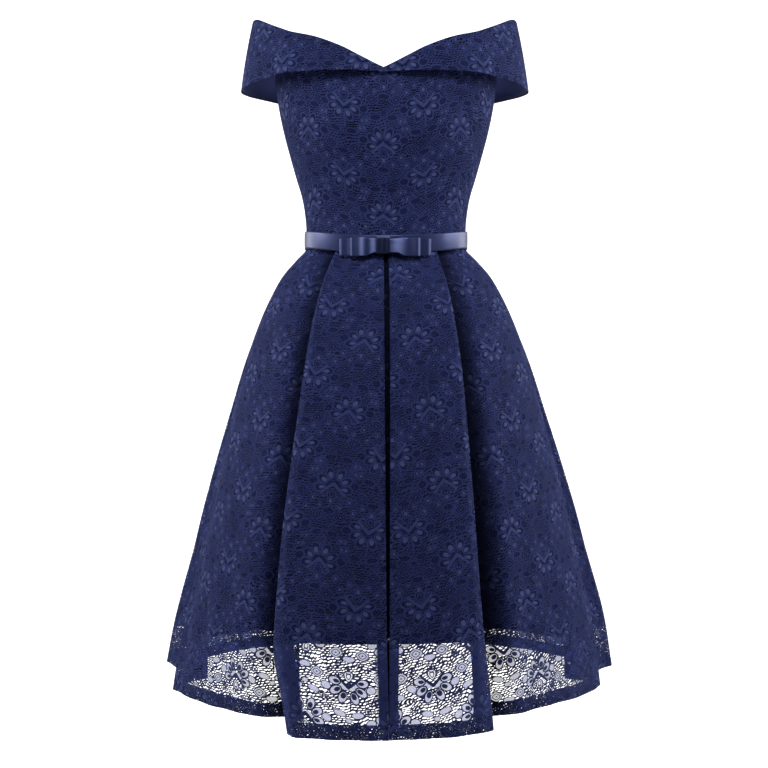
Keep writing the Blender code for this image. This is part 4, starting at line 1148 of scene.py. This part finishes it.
# middle in degrees, height, slope and half width of each
CREASES = ((38, 0.052, 0.9, 0.010), (-41, 0.047, -0.8, 0.011), (63, 0.075, 1.1, 0.009),
           (-66, 0.068, -1.2, 0.010), (16, 0.034, 0.5, 0.008), (-19, 0.038, -0.6, 0.008),
           (150, 0.050, -0.7, 0.010), (-152, 0.054, 0.8, 0.010), (122, 0.095, 0.6, 0.011),
           (-118, 0.088, -0.7, 0.012))
CREASE_DEPTH, CREASE_LENGTH = 0.55 * MM, 0.05


def crease_depth(angle, height):
    """How far a few shallow drag lines press the cloth in."""
    depth = 0.0
    for middle, level, slope, width in CREASES:
        along = radians(angle - middle) * CREASE_RADIUS
        off = (height - level - slope * along) / width
        depth += CREASE_DEPTH * np.exp(-off * off - (along / CREASE_LENGTH) ** 2 * 3)
    return float(depth)


def bodice_rows(first, last):
    """The middle of the bodice's cloth, row by row from the waist seam up to the top edge."""
    def place(level, share):
        angle = first + (last - first) * share
        low, high = waist_height(angle), bodice_top(angle)
        height = low + (high - low) * level
        point = bodice_point(angle, height)
        out = rightwards(point, bodice_point(angle + 0.5, height))
        from_seam = radians(min(angle - first, last - angle)) * SEAM_RADIUS
        sink = SEAM_SINK * max(1 - from_seam / SEAM_SOFT, 0.0) ** 2
        return point - out * (BODICE_INSIDE + sink + crease_depth(angle, height))

    return grid_of(BODICE_LEVELS, round((last - first) / BODICE_STEP), place)


def flat_from(rows, column, level, shift=(0.0, 0.0)):
    """Places on the flat cloth, by distances from one column and one row of a grid, in metres."""
    grid = np.asarray(rows, float)
    across, up = lengths_along(grid, 1), lengths_along(grid, 0)
    return np.stack([across - across[:, column:column + 1] + shift[0] * MM,
                     up - up[level] + shift[1] * MM], axis=2)


FLOWER_ROW = 40        # the row whose height at centre front is the heart of the middle flower
# name: first and last angle, the column that the flowers are placed from, and their shift in mm
BODICE_PIECES = {"front": (-90, 90, 60, (3.6, 0.0)), "back_right": (-180, -90, 0, (22.0, 12.0)),
                 "back_left": (90, 180, 60, (-22.0, 12.0))}

for ending, (first, last, column, shift) in BODICE_PIECES.items():
    rows = bodice_rows(first, last)
    piece = cloth_sheet("bodice_" + ending + "_lace", rows,
                        flat_from(rows, column, FLOWER_ROW, shift), backed_lace, BODICE_SHELL,
                        inner_finish=facing_cloth)
    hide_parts("bodice_" + ending)
    declare_cloth(piece, rows)
    print(f"middle flower at {rows[FLOWER_ROW][column].z:.3f}")

# %% [markdown]
# ## The fold-over collar
#
# The collar is a band of lace that stands up from the bodice, folds over and hangs down outside
# it. It is cut as two halves, which meet in a V at centre front and run on round the arms as
# short sleeves. A row of stations round each half gives the fold and the flap's edge. At each
# station the section goes up inside the flap, round its lower edge, up its outside, over a soft
# roll and a little way down inside. A plain facing carries on from there down to the bodice, or
# to the sleeve's edge round the arm.

# %% Stations round the collar
# the fold, then the flap's edge, in mm, from the notch at centre front round to centre back
COLLAR_STATIONS = (
    ((0, -120, 225.2), (0, -122.2, 220.8)),
    ((15, -120, 232.5), (15, -123.2, 222)),
    ((35, -119, 243), (35, -125.5, 222.5)),
    ((60, -116.5, 256), (61, -126, 223)),
    ((95, -109, 270), (98, -120.5, 223)),
    ((129, -98.5, 279), (135, -108, 222.5)),
    ((146, -80.5, 288), (155, -90.5, 221)),
    ((164, -62, 298), (174.5, -71, 219.5)),
    ((184, -32, 311), (197, -37, 217.5)),
    ((191, 2, 316.5), (208, 5, 216.5)),
    ((184.5, 36, 309), (200, 44, 217.5)),
    ((165, 64, 293), (177, 75, 217)),
    ((143, 81, 281), (152, 93, 214)),
    ((118, 96, 271), (124, 108, 209)),
    ((75, 103, 264), (80, 116.5, 201)),
    ((35, 107.5, 262), (40, 120.5, 196.5)),
    ((3.2, 108.5, 261.5), (3.2, 121.5, 195.5)),
)
ARM_FROM, ARM_TO = 5.5, 12.5           # between these stations the facing lines a sleeve
COLLAR_SHIFT, COLLAR_HALF_DEPTH = -0.0035, 0.12
STEPS_PER_STATION = 8
ROLL_RADIUS, SOFT_ROLL = 1.6 * MM, 3.4 * MM     # of the fold at the front, and more over the arm
ARM_STATION, ROLL_SPREAD = 9.0, 2.2             # where it is roundest, and how far that reaches
SIDES = {"right": -1, "left": 1}


def clamped(value):
    """The value, kept between 0 and 1."""
    return min(max(value, 0.0), 1.0)


def eased(share):
    """A share of 0 to 1 that starts and ends slowly."""
    return share * share * (3 - 2 * share)


def bell(x, middle, width):
    """1 at the middle, falling smoothly to 0 at about twice the width from it."""
    return float(np.exp(-((x - middle) / width) ** 2))


def soft_roll(at):
    """How much rounder the fold is here than at centre front."""
    return SOFT_ROLL * bell(at, ARM_STATION, ROLL_SPREAD)


def collar_place(at, edge, side):
    """The fold, or the flap's edge, at a place between two stations."""
    x, y, z = (smooth_value(list(range(len(COLLAR_STATIONS))),
                            [row[edge][k] for row in COLLAR_STATIONS], at) / 1000
               for k in range(3))
    shift = COLLAR_SHIFT * clamped(0.5 - y / (2 * COLLAR_HALF_DEPTH))
    return Vector((side * x + shift, y, z))


def collar_frame(at, side):
    """The fold, how far the edge is out and up from it, and the level direction inwards."""
    fold, edge = collar_place(at, 0, side), collar_place(at, 1, side)
    fold.z -= soft_roll(at)
    last = len(COLLAR_STATIONS) - 1
    inwards = rightwards(collar_place(max(at - 0.5, 0), 0, side),
                         collar_place(min(at + 0.5, last), 0, side)) * -side
    return fold, (edge - fold).dot(inwards), edge.z - fold.z, inwards


def collar_stations(side):
    """Places along one half, in the order that keeps the right side of the cloth outside, and
    their frames."""
    count = (len(COLLAR_STATIONS) - 1) * STEPS_PER_STATION
    places = [k / STEPS_PER_STATION for k in range(count + 1)][::side]
    return places, [collar_frame(at, side) for at in places]


print(len(COLLAR_STATIONS), "stations,", len(collar_stations(1)[0]), "columns in each half")

# %% The flap, from inside its lower edge over the fold
COLLAR_SHELL, COLLAR_HALF = 0.7 * MM, 0.42 * MM
COLLAR_LIP = 4.0 * MM                   # how far the lace goes down inside
INSIDE_FROM = 0.25                      # the share of the flap that its inner side leaves out
FULL_FLAP = 0.03                        # a flap at least that long is as full as it gets
FLAP_STEPS, ROLL_STEPS, EDGE_STEPS, LIP_STEPS, INSIDE_STEPS = 16, 9, 5, 3, 8
FLAP_BOW, FLAP_WAVE, WAVE_STATIONS = 1.3 * MM, 0.5 * MM, 2.3


def lip_length(up):
    """How far the lace goes down inside: less where the flap is short."""
    return min(COLLAR_LIP, -up / 3)


def flap_section(at, out, up):
    """The middle line of the flap's cloth, as (in, up) pairs."""
    size = hypot(out, up)
    in_, up_ = -up / size, out / size                       # square to the flap, inwards
    fullness = min(size / FULL_FLAP, 1.0)
    wave = sin(2 * pi * at / WAVE_STATIONS + 0.7) * FLAP_WAVE

    def on_flap(share, inside):
        bowed = (FLAP_BOW * arch(share) + wave * (share ** 1.5)) * fullness
        return (out * share + in_ * (inside - bowed), up * share + up_ * (inside - bowed))

    section = [on_flap(INSIDE_FROM + (1 - INSIDE_FROM) * k / INSIDE_STEPS, COLLAR_HALF)
               for k in range(INSIDE_STEPS)]
    for k in range(EDGE_STEPS + 1):
        turn = pi * k / EDGE_STEPS
        x, z = on_flap(1.0, COLLAR_HALF * cos(turn))
        down = COLLAR_HALF * sin(turn) / size
        section.append((x + out * down, z + up * down))
    section += [on_flap(1.0 - k / FLAP_STEPS, -COLLAR_HALF) for k in range(1, FLAP_STEPS)]
    middle = ROLL_RADIUS + soft_roll(at)
    radius = middle + COLLAR_HALF
    tilt = np.arctan2(-out, -up)
    for k in range(ROLL_STEPS + 1):
        turn = pi * k / ROLL_STEPS + tilt * (1 - k / ROLL_STEPS)
        section.append((middle - radius * cos(turn), radius * sin(turn)))
    section += [(2 * middle + COLLAR_HALF, -lip_length(up) * k / LIP_STEPS)
                for k in range(1, LIP_STEPS + 1)]
    return section


def placed_sections(sections, frames):
    """The columns' sections turned into rows of points."""
    columns = [[fold + inwards * a + Vector((0.0, 0.0, b)) for a, b in section]
               for section, (fold, _, _, inwards) in zip(sections, frames)]
    return [list(row) for row in zip(*columns)]


FLAP_SHIFTS = {1: (30.0, 36.0), -1: (-26.0, 30.0)}     # of the flowers on each half, in mm

for name, side in SIDES.items():
    places, frames = collar_stations(side)
    rows = placed_sections([flap_section(at, out, up)
                            for at, (_, out, up, _) in zip(places, frames)], frames)
    edge_row = INSIDE_STEPS + EDGE_STEPS
    front_column = 0 if side > 0 else len(rows[0]) - 1
    piece = cloth_sheet("collar_lace_" + name, rows,
                        flat_from(rows, front_column, edge_row, FLAP_SHIFTS[side]),
                        backed_lace, COLLAR_SHELL)
    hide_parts("collar_" + name)
    declare_cloth(piece, rows)

# %% The facing inside the collar and the sleeves
FACING_SHELL, FACING_STEPS = 0.6 * MM, 12
FACING_CLEAR, CUFF_CLEAR, CUFF_RISE, LIP_GAP = 0.3 * MM, 1.7 * MM, 0.7 * MM, 0.2 * MM


def facing_section(at, fold, out, up, inwards):
    """From the turned-in lace down to the bodice's top or the sleeve's edge."""
    start = Vector((2 * (ROLL_RADIUS + soft_roll(at)), -lip_length(up) - LIP_GAP))
    cuff = Vector((out + CUFF_CLEAR, up + CUFF_RISE))
    middle = fold + inwards * start.x
    angle = degrees(Vector((0, -1)).angle(Vector((middle.x, middle.y))))
    seam = Vector((start.x, min(bodice_top(angle) + FACING_CLEAR - fold.z, start.y - MM)))
    round_arm = min(clamped(at - ARM_FROM + 0.5), clamped(ARM_TO + 0.5 - at))
    end = seam.lerp(cuff, eased(round_arm))
    return [tuple(start.lerp(end, k / FACING_STEPS)) for k in range(FACING_STEPS + 1)]


for name, side in SIDES.items():
    places, frames = collar_stations(side)
    rows = placed_sections([facing_section(at, *frame) for at, frame in zip(places, frames)],
                           frames)
    piece = cloth_sheet("facing_" + name, rows, flat_from(rows, 0, 0), facing_cloth,
                        FACING_SHELL)
    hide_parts("collar_facing_" + name)
    declare_cloth(piece, rows)

# %% [markdown]
# ## The ribbon belt and its bow
#
# The belt is a double-faced satin ribbon, about 25 mm wide. Satin is woven so that long smooth
# threads lie on top, all one way, so it has fine lines along it, a firm woven edge and long soft
# highlights. The bow is the same ribbon: two flat loops, one on the other, pinched together by a
# short piece wrapped round their middle. Each loop is a ring in plan, drawn as a line and carried
# up through the width of the ribbon, with gathers that run out from the knot.

# %% Satin finish
SATIN_WIDTH, RIB_WIDTH = 24.6, 0.6     # of the ribbon, and of a rib in its woven edge, in mm
# belt, bow and knot are one ribbon: the bow's tones are painted a little darker than the belt's and
# the knot's much darker, painted shade for the shadow and angle they meet the light at
SATIN_BLUES = {"belt": ((21, 26, 57), (33, 40, 79)), "bow": ((18, 23, 54), (29, 35, 74)),
               "knot": ((4, 7, 26), (8, 11, 34))}
# the second colour is a painted highlight, for stripes where the satin shines
SATIN_SHINE, PAINTED_GLINT_BLUE = from_screen(150, 165, 235), from_screen(100, 110, 156)


def satin_finish(name, dark, light):
    """Ribbon satin, with lines along the ribbon, broad cloudy painted highlights, and a painted
    highlight where the points hold one.
    """
    made, tree, shader = new_material(name, Specular_IOR_Level=0.85, Specular_Tint=SATIN_SHINE,
                                      Anisotropic=0.4, Sheen_Weight=0.08, Sheen_Roughness=0.35)
    along, across = cloth_millimetres(tree)
    threads = noise(tree, along * 0.05, across * 2.2, 1.0, 3.0)
    cloud = noise(tree, along * 0.06, across * 0.12, 1.0, 2.0)
    edge = (SATIN_WIDTH / 2 - abs(across)).fade(0.35, 0.8)
    ribs = ripple(along, RIB_WIDTH) * 0.5 + 0.5
    colour = blended(tree, cloud * 0.5 + threads * 0.3, dark, light)
    colour = blended(tree, edge * (0.35 + ribs * 0.3), colour, dark)
    # a painted highlight where the ribbon's points hold one
    colour = blended(tree, held_value(tree, "crease"), colour, PAINTED_GLINT_BLUE)
    link_surface(tree, shader, colour, 0.30 + threads * 0.12 + edge * 0.2,
                 threads * 0.5 + edge * ribs * 0.8, 0.3, 0.08 * MM)
    return made


belt_finish, bow_finish, shaded_knot_finish = (
    satin_finish(name + "_ribbon_satin", from_screen(*dark), from_screen(*light))
    for name, (dark, light) in SATIN_BLUES.items())
print("satin nodes:", len(belt_finish.node_tree.nodes))

# %% The belt
BELT_WIDTH, BELT_OFF_WAIST, RIBBON_SHELL = SATIN_WIDTH * MM, 2.55 * MM, 0.5 * MM
BELT_STEPS, BELT_ROWS, BELT_BACK_GAP = 288, 12, 0.15
BELT_CROWN, BELT_DRIFT = 0.35 * MM, 0.25 * MM


def belt_place(share, along):
    """A point of the belt: how far up its width, and how far round it from centre back."""
    angle = -180 + BELT_BACK_GAP + (360 - 2 * BELT_BACK_GAP) * along
    turn = radians(angle)
    wave = 0.16 * sin(9 * turn + 0.8) + 0.10 * sin(23 * turn + 2.0 + 2 * share)
    level = waist_point(angle, -(BELT_OFF_WAIST + BELT_CROWN * (arch(share) + wave)))
    rise = (share - 0.5) * BELT_WIDTH + BELT_DRIFT * sin(5 * turn + 1.0)
    return Vector((level.x, level.y, waist_height(angle) + rise))


def ribbon_flat(rows, shift=0.0):
    """Places on the flat ribbon: along it from its start, and across it from its middle."""
    return flat_from(rows, 0, len(rows) // 2, (shift, 0.0))


rows = grid_of(BELT_ROWS, BELT_STEPS, belt_place)
belt = cloth_sheet("belt_satin", rows, ribbon_flat(rows), belt_finish, RIBBON_SHELL)
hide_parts("belt_ribbon")
declare_cloth(belt, rows)

# %% The two loops of the bow
# half width, back, front, bulge, top, bottom, pinch at the knot, wrap round the waist
BOW_LOOPS = {
    "bow_lower": (0.0635, -0.0927, -0.0959, 0.0010, -0.0050, -0.0285, 0.0034, 2.2),
    "bow_upper": (0.0485, -0.0981, -0.1015, 0.0045, -0.0046, -0.0300, 0.0049, 1.8),
}
BOW_X, PINCHED, FULL = -0.0012, 0.3, 0.6
LOOP_POINTS, LOOP_ENDS, LOOP_ROWS = 60, 8, 14
GATHER_DEPTH, GATHERS = 0.16 * MM, 2.0
# ridges on the front of a loop: place along it as a share, height in mm, and width as a share
RIDGES = {"bow_lower": ((-0.97, 0.5, 0.03), (-0.80, 0.3, 0.05), (0.96, 0.5, 0.03)),
          "bow_upper": ((-0.33, 2.0, 0.07), (-0.66, 1.3, 0.045), (-0.95, 0.5, 0.03),
                        (0.42, 2.2, 0.17), (0.95, 0.5, 0.03))}
# painted highlights, stripes where the satin shines on a loop's front: place and width as shares,
# and how much
PAINTED_GLINTS = {"bow_lower": ((-0.99, 0.022, 0.8), (-0.80, 0.03, 0.25), (0.98, 0.025, 0.9)),
           "bow_upper": ((-0.985, 0.024, 0.9), (-0.67, 0.065, 0.75), (-0.35, 0.08, 0.85),
                         (0.36, 0.17, 0.85), (0.975, 0.028, 0.9))}


def loop_rows(name):
    """Rows round a flat ring of ribbon, from its lower to its upper edge, and how much painted
    highlight each of their points gets."""
    half_width, back, front, bulge, top, bottom, pinch, wrap = BOW_LOOPS[name]
    back, front = back - RIBBON_SHELL / 2, front + RIBBON_SHELL / 2
    radius = (back - front) / 2
    reach = half_width - radius
    plan = [(-reach + 2 * reach * k / LOOP_POINTS, -1, 0.0) for k in range(LOOP_POINTS + 1)]
    plan += [(reach, 0, pi * k / LOOP_ENDS) for k in range(1, LOOP_ENDS)]
    plan += [(reach - 2 * reach * k / LOOP_POINTS, 1, 0.0) for k in range(LOOP_POINTS + 1)]
    plan += [(-reach, 0, pi + pi * k / LOOP_ENDS) for k in range(1, LOOP_ENDS)]
    plan.append(plan[0])
    glint = [sum(much * bell(x / half_width, at, wide) for at, wide, much in PAINTED_GLINTS[name])
               if face < 0 else 0.0 for x, face, _ in plan]
    rows = []
    for r in range(LOOP_ROWS + 1):
        share = r / LOOP_ROWS
        row = []
        for x, face, turn in plan:
            place = x / half_width
            away = abs(place)
            full = sin(pi * max(away - PINCHED, 0.0) / (1 - PINCHED)) ** 2
            tight = clamped((FULL - away) / (FULL - PINCHED))
            y = (back + front) / 2 + wrap * x * x + face * radius
            if face < 0:
                ridges = sum(height * MM * bell(place, at, wide)
                             for at, height, wide in RIDGES[name])
                across = arch(share)
                y -= bulge * full * (0.85 + 0.15 * across) + ridges * (0.75 + 0.25 * across)
            gather = sin(2 * pi * GATHERS * share + 3 * place)
            y += GATHER_DEPTH * (0.25 + tight * 0.75) * gather
            if not face:
                x, y = x + radius * sin(turn), y - radius * cos(turn)
            squeeze = pinch * eased(tight)
            low, high = bottom + squeeze, top - squeeze * 0.3
            row.append(Vector((x + BOW_X, y, low + (high - low) * share)))
        rows.append(row)
    return rows, [glint] * len(rows)


for name in BOW_LOOPS:
    rows, glint = loop_rows(name)
    piece = cloth_sheet(name + "_satin", rows, ribbon_flat(rows, 40.0), bow_finish, RIBBON_SHELL,
                        closed=True, values={"crease": glint})
    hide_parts(name)
    declare_cloth(piece, rows)

# %% The knot
KNOT_X, KNOT_HALF_WIDTH = -0.0040, 0.0094
KNOT_BACK, KNOT_FRONT, KNOT_TOP, KNOT_BOTTOM = -0.0903, -0.1031, -0.0026, -0.0272
KNOT_CORNER_RADIUS, KNOT_COLUMNS, KNOT_CORNER_STEPS, KNOT_SIDE_STEPS = 3.0 * MM, 18, 7, 8
KNOT_FOLD = 0.35 * MM


def knot_outline():
    """The ring that the knot's ribbon makes, seen from the side, up its front first."""
    r = KNOT_CORNER_RADIUS
    front, back = KNOT_FRONT + RIBBON_SHELL / 2, KNOT_BACK - RIBBON_SHELL / 2
    low, high = KNOT_BOTTOM + RIBBON_SHELL / 2, KNOT_TOP - RIBBON_SHELL / 2
    corners = (((front + r, high - r), pi), ((back - r, high - r), pi / 2),
               ((back - r, low + r), 0.0), ((front + r, low + r), -pi / 2))
    ring = []
    for (y, z), start in corners:
        for k in range(KNOT_CORNER_STEPS + 1):
            turn = start - pi / 2 * k / KNOT_CORNER_STEPS
            ring.append((y + r * cos(turn), z + r * sin(turn)))
    outline = []
    for (y0, z0), (y1, z1) in zip([ring[-1]] + ring, ring):
        steps = KNOT_SIDE_STEPS if hypot(y1 - y0, z1 - z0) > r else 1
        outline += [(y0 + (y1 - y0) * k / steps, z0 + (z1 - z0) * k / steps)
                    for k in range(steps)]
    return outline + [outline[0]]


def knot_rows():
    """Rows across the knot, one for each point of its ring, with its gathers in front."""
    ring = knot_outline()

    def place(turn, share):
        y, z = ring[round(turn * (len(ring) - 1))]
        across = share * 2 - 1
        fold = KNOT_FOLD * cos(across * 2.6 * pi) * (1 - 0.4 * abs(across))
        front = 1.0 if y < (KNOT_FRONT + KNOT_BACK) / 2 else 0.0
        return Vector((KNOT_X + across * (KNOT_HALF_WIDTH - RIBBON_SHELL / 2),
                       y - front * fold, z + (1 - front) * fold * 0.2))

    return grid_of(len(ring) - 1, KNOT_COLUMNS, place)


rows = knot_rows()
knot_flat = flat_from(rows, KNOT_COLUMNS // 2, 0)[:, :, ::-1]
# a painted highlight along the knot's top edge
glint = [[0.8 * bell(point.z, KNOT_TOP - 0.4 * MM, 0.7 * MM) for point in row] for row in rows]
knot = cloth_sheet("knot_satin", rows, knot_flat, shaded_knot_finish, RIBBON_SHELL, closed=True,
                   values={"crease": glint})
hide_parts("bow_knot")
declare_cloth(knot, rows)

# %% [markdown]
# ## The zip
#
# A concealed zip is sewn behind the centre-back seam. Its tape is a narrow twill, its teeth are
# a coil on the tape's inner side, and only the slider shows outside, at the top, with a pull tab
# that hangs from a pin. The tape follows the inside of the back from the bodice's top to a stop
# below the waist. One turn of the coil is modelled and copied down it. The slider and the tab
# are small castings with rounded edges, painted in the dress's colour, with scuffs in the paint
# down to the metal.

# %% Twill tape, coil plastic and painted metal
TWILL_DARK, TWILL_BLUE, TWILL_WIDTH = from_screen(15, 18, 46), from_screen(27, 32, 70), 0.7
PAINT_BLUE, WORN_METAL = from_screen(34, 40, 82), from_screen(120, 124, 140)
COIL_BLUE, WORN_COIL = from_screen(24, 29, 64), from_screen(40, 46, 84)


def tape_finish(name):
    """Narrow twill: fine slanting ribs."""
    made, tree, shader = new_material(name, Specular_IOR_Level=0.15, Sheen_Weight=0.05)
    across, up = cloth_millimetres(tree)
    rib = ripple(across + up, TWILL_WIDTH) * 0.5 + 0.5
    cloud = noise(tree, across, up, 0.2, 2.0)
    colour = blended(tree, rib * 0.5 + cloud * 0.3, TWILL_DARK, TWILL_BLUE)
    link_surface(tree, shader, colour, 0.75 + cloud * 0.15, rib, 0.4, 0.1 * MM)
    return made


def object_noise(tree, scale, detail):
    """Clouds in the piece's own space, with the scale in turns a metre."""
    place = shader_node(tree, "ShaderNodeTexCoord", output="Object")
    return shader_node(tree, "ShaderNodeTexNoise", {},
                       {"Vector": place, "Scale": scale, "Detail": detail})


def paint_finish(name, paint, worn, metallic, scuffed):
    """Paint over metal or plastic, with scuffs where the noise is high."""
    made, tree, shader = new_material(name, Specular_IOR_Level=0.5, Metallic=metallic)
    scuff = 1.0 - object_noise(tree, 900.0, 4.0).fade(scuffed, scuffed + 0.12)
    grain = object_noise(tree, 4000.0, 2.0)
    colour = blended(tree, scuff * 0.8 + grain * 0.1, paint, worn)
    link_surface(tree, shader, colour, 0.34 + grain * 0.12 + scuff * 0.15,
                 grain - scuff * 0.6, 0.2, 0.05 * MM)
    return made


twill = tape_finish("zip_twill")
painted_metal = paint_finish("zip_painted_metal", PAINT_BLUE, WORN_METAL, 0.7, 0.60)
coil_plastic = paint_finish("zip_coil_plastic", COIL_BLUE, WORN_COIL, 0.0, 0.55)
print("finishes:", twill.name, painted_metal.name, coil_plastic.name)

# %% The tape
tape_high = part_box("zip_tape")[1]
TAPE_SHELL, TAPE_HALF_WIDTH, TAPE_COLUMNS = 0.35 * MM, 5.2 * MM, 8
TAPE_BEHIND_BODICE, TAPE_BEHIND_LACE, TAPE_BOW = 2.9 * MM, 3.15 * MM, 0.15 * MM
# how far the tape stays under its place's top and ends over the waist seam, then where it goes on
# and stops, as shares of the way down the skirt, and the steps in each part
TAPE_SHORT, TAPE_OVER_WAIST, TAPE_START_DROP, TAPE_STOP_DROP = 1.0 * MM, 5.5 * MM, 0.012, 0.255
BODICE_PART, SKIRT_PART = 30, 28


def tape_places():
    """The (y, z) places down the middle of the tape, from the top to the stop."""
    places = []
    high = tape_high[2] - TAPE_SHORT
    for step in range(BODICE_PART + 1):
        height = TAPE_OVER_WAIST + (high - TAPE_OVER_WAIST) * (1 - step / BODICE_PART)
        places.append((bodice_point(180, height).y - TAPE_BEHIND_BODICE, height))
    for step in range(1, SKIRT_PART + 1):
        drop = TAPE_START_DROP + (TAPE_STOP_DROP - TAPE_START_DROP) * step / SKIRT_PART
        point = fold_point(RIGHT_FOLDS["centre_back"], 1, drop)
        places.append((point.y - TAPE_BEHIND_LACE, point.z))
    return places


run = tape_places()
shares = [k / TAPE_COLUMNS for k in range(TAPE_COLUMNS + 1)]
rows = [[Vector((TAPE_HALF_WIDTH * (1 - 2 * share), y + TAPE_BOW * arch(share), z))
         for share in shares] for y, z in run]
tape = cloth_sheet("zip_tape_twill", rows, flat_from(rows, TAPE_COLUMNS // 2, 0), twill,
                   TAPE_SHELL)
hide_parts("zip_tape")
print(f"tape from {rows[0][0].z:.3f} down to {rows[-1][0].z:.3f}")

# %% The coil, one tooth modelled and copied
TOOTH_SIZE, TOOTH_PITCH, TOOTH_IN = (3.0 * MM, 0.55 * MM, 0.95 * MM), 1.5 * MM, 0.55 * MM


def rounded_box(name, size, middle, rounding, segments, taper=1.0):
    """A box with rounded edges and a narrower lower end, as its own object."""
    nothing_selected()
    bpy.ops.mesh.primitive_cube_add(size=1.0, location=(0.0, 0.0, 0.0))
    piece = bpy.context.object
    piece.name = piece.data.name = name
    for vertex in piece.data.vertices:
        if vertex.co.z < 0:
            vertex.co.x *= taper
    bpy.ops.object.mode_set(mode="EDIT")
    bpy.ops.mesh.select_all(action="SELECT")
    bpy.ops.transform.resize(value=size)
    bpy.ops.transform.translate(value=middle)
    bpy.ops.mesh.bevel(offset=rounding, segments=segments, affect="EDGES")
    bpy.ops.mesh.normals_make_consistent(inside=False)
    bpy.ops.object.mode_set(mode="OBJECT")
    return piece


def joined(name, pieces, finish):
    """One object from several, with one finish."""
    nothing_selected()
    for piece in pieces:
        piece.select_set(True)
    bpy.context.view_layer.objects.active = pieces[0]
    bpy.ops.object.join()
    whole = bpy.context.object
    whole.name = whole.data.name = name
    whole.data.materials.clear()
    whole.data.materials.append(finish)
    pick(whole)
    bpy.ops.object.shade_smooth_by_angle(angle=radians(40.0))
    return whole


tooth = rounded_box("zip_tooth", TOOTH_SIZE, (0.0, 0.0, 0.0), 0.2 * MM, 1)
run = [Vector((0.0, y - TOOTH_IN, z)) for y, z in run]
teeth, travelled = [tooth], 0.0
for a, b in zip(run, run[1:]):
    length_here = (b - a).length
    while travelled < length_here:
        copy = tooth.copy()
        copy.data = tooth.data.copy()
        copy.data.transform(Matrix.Translation(a.lerp(b, travelled / length_here)))
        bpy.context.scene.collection.objects.link(copy)
        teeth.append(copy)
        travelled += TOOTH_PITCH
    travelled -= length_here
tooth.data.transform(Matrix.Translation(run[-1]))
coil = joined("zip_coil", teeth, coil_plastic)
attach(coil, "dress")
declare_cloth(tape, rows)
print(len(teeth), "teeth")

# %% The slider and its pull tab
HINGE_HEIGHT, HINGE_OUT = 0.2360, 3.1 * MM
SLIDER_SIZE, LUG_SIZE = (5.6 * MM, 1.6 * MM, 9.0 * MM), (0.9 * MM, 2.9 * MM, 3.0 * MM)
LUG_SPREAD, LUG_OUT, PIN_RADIUS = 2.0 * MM, 1.0 * MM, 0.4 * MM
EYE_RADIUS, EYE_WALL, PULL_EYE_WIDTH = 1.15 * MM, 0.4 * MM, 2.4 * MM
PULL_WIDTH, PULL_THICKNESS, PULL_NECK, PULL_LENGTH = 3.6 * MM, 0.8 * MM, 4.0 * MM, 19.0 * MM
hinge = Vector((0.0, bodice_point(180, HINGE_HEIGHT).y + 0.3 * MM + HINGE_OUT, HINGE_HEIGHT))


def rod_along_x(name, radius, length, wall=0.0):
    """A round rod across the hinge, or a tube with that wall."""
    nothing_selected()
    bpy.ops.mesh.primitive_cylinder_add(vertices=20, radius=radius, depth=length,
                                        end_fill_type="NOTHING" if wall else "NGON",
                                        location=(0.0, 0.0, 0.0))
    piece = bpy.context.object
    piece.name = piece.data.name = name
    if wall:
        modifier = piece.modifiers.new("wall", "SOLIDIFY")
        modifier.thickness, modifier.offset = wall, -1.0
        bpy.ops.object.modifier_apply(modifier=modifier.name)
    piece.data.transform(Matrix.Translation(hinge) @ Matrix.Rotation(pi / 2, 4, "Y"))
    return piece


body_middle = hinge + Vector((0.0, SLIDER_SIZE[1] / 2 - HINGE_OUT, 0.0))
slider_parts = [rounded_box("slider_body", SLIDER_SIZE, body_middle, 0.42 * MM, 3, 0.72)]
for side in (-1, 1):
    lug_middle = hinge + Vector((side * LUG_SPREAD, LUG_OUT - LUG_SIZE[1] / 2, 0.0))
    slider_parts.append(rounded_box("slider_lug", LUG_SIZE, lug_middle, 0.25 * MM, 3))
slider_parts.append(rod_along_x("slider_pin", PIN_RADIUS, 2 * LUG_SPREAD))
slider = joined("slider_metal", slider_parts, painted_metal)
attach(slider, "dress")
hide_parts("zip_slider")

neck_size = (PULL_EYE_WIDTH, PULL_THICKNESS, PULL_NECK)
plate_size = (PULL_WIDTH, PULL_THICKNESS, PULL_LENGTH - PULL_NECK)
neck_middle = hinge + Vector((0.0, 0.0, -EYE_RADIUS / 2 - PULL_NECK / 2))
plate_middle = hinge + Vector((0.0, 0.0, -PULL_NECK - plate_size[2] / 2))
plate = rounded_box("pull_plate", plate_size, plate_middle, 0.25 * MM, 3, 0.8)
pull = joined("pull_metal", [rod_along_x("pull_eye", EYE_RADIUS, PULL_EYE_WIDTH, EYE_WALL),
                             rounded_box("pull_neck", neck_size, neck_middle, 0.2 * MM, 2), plate],
              painted_metal)
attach(pull, "pull")
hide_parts("zip_pull")
print("slider", triangles(slider), "and tab", triangles(pull), "triangles")

# %% The end
nothing_selected()
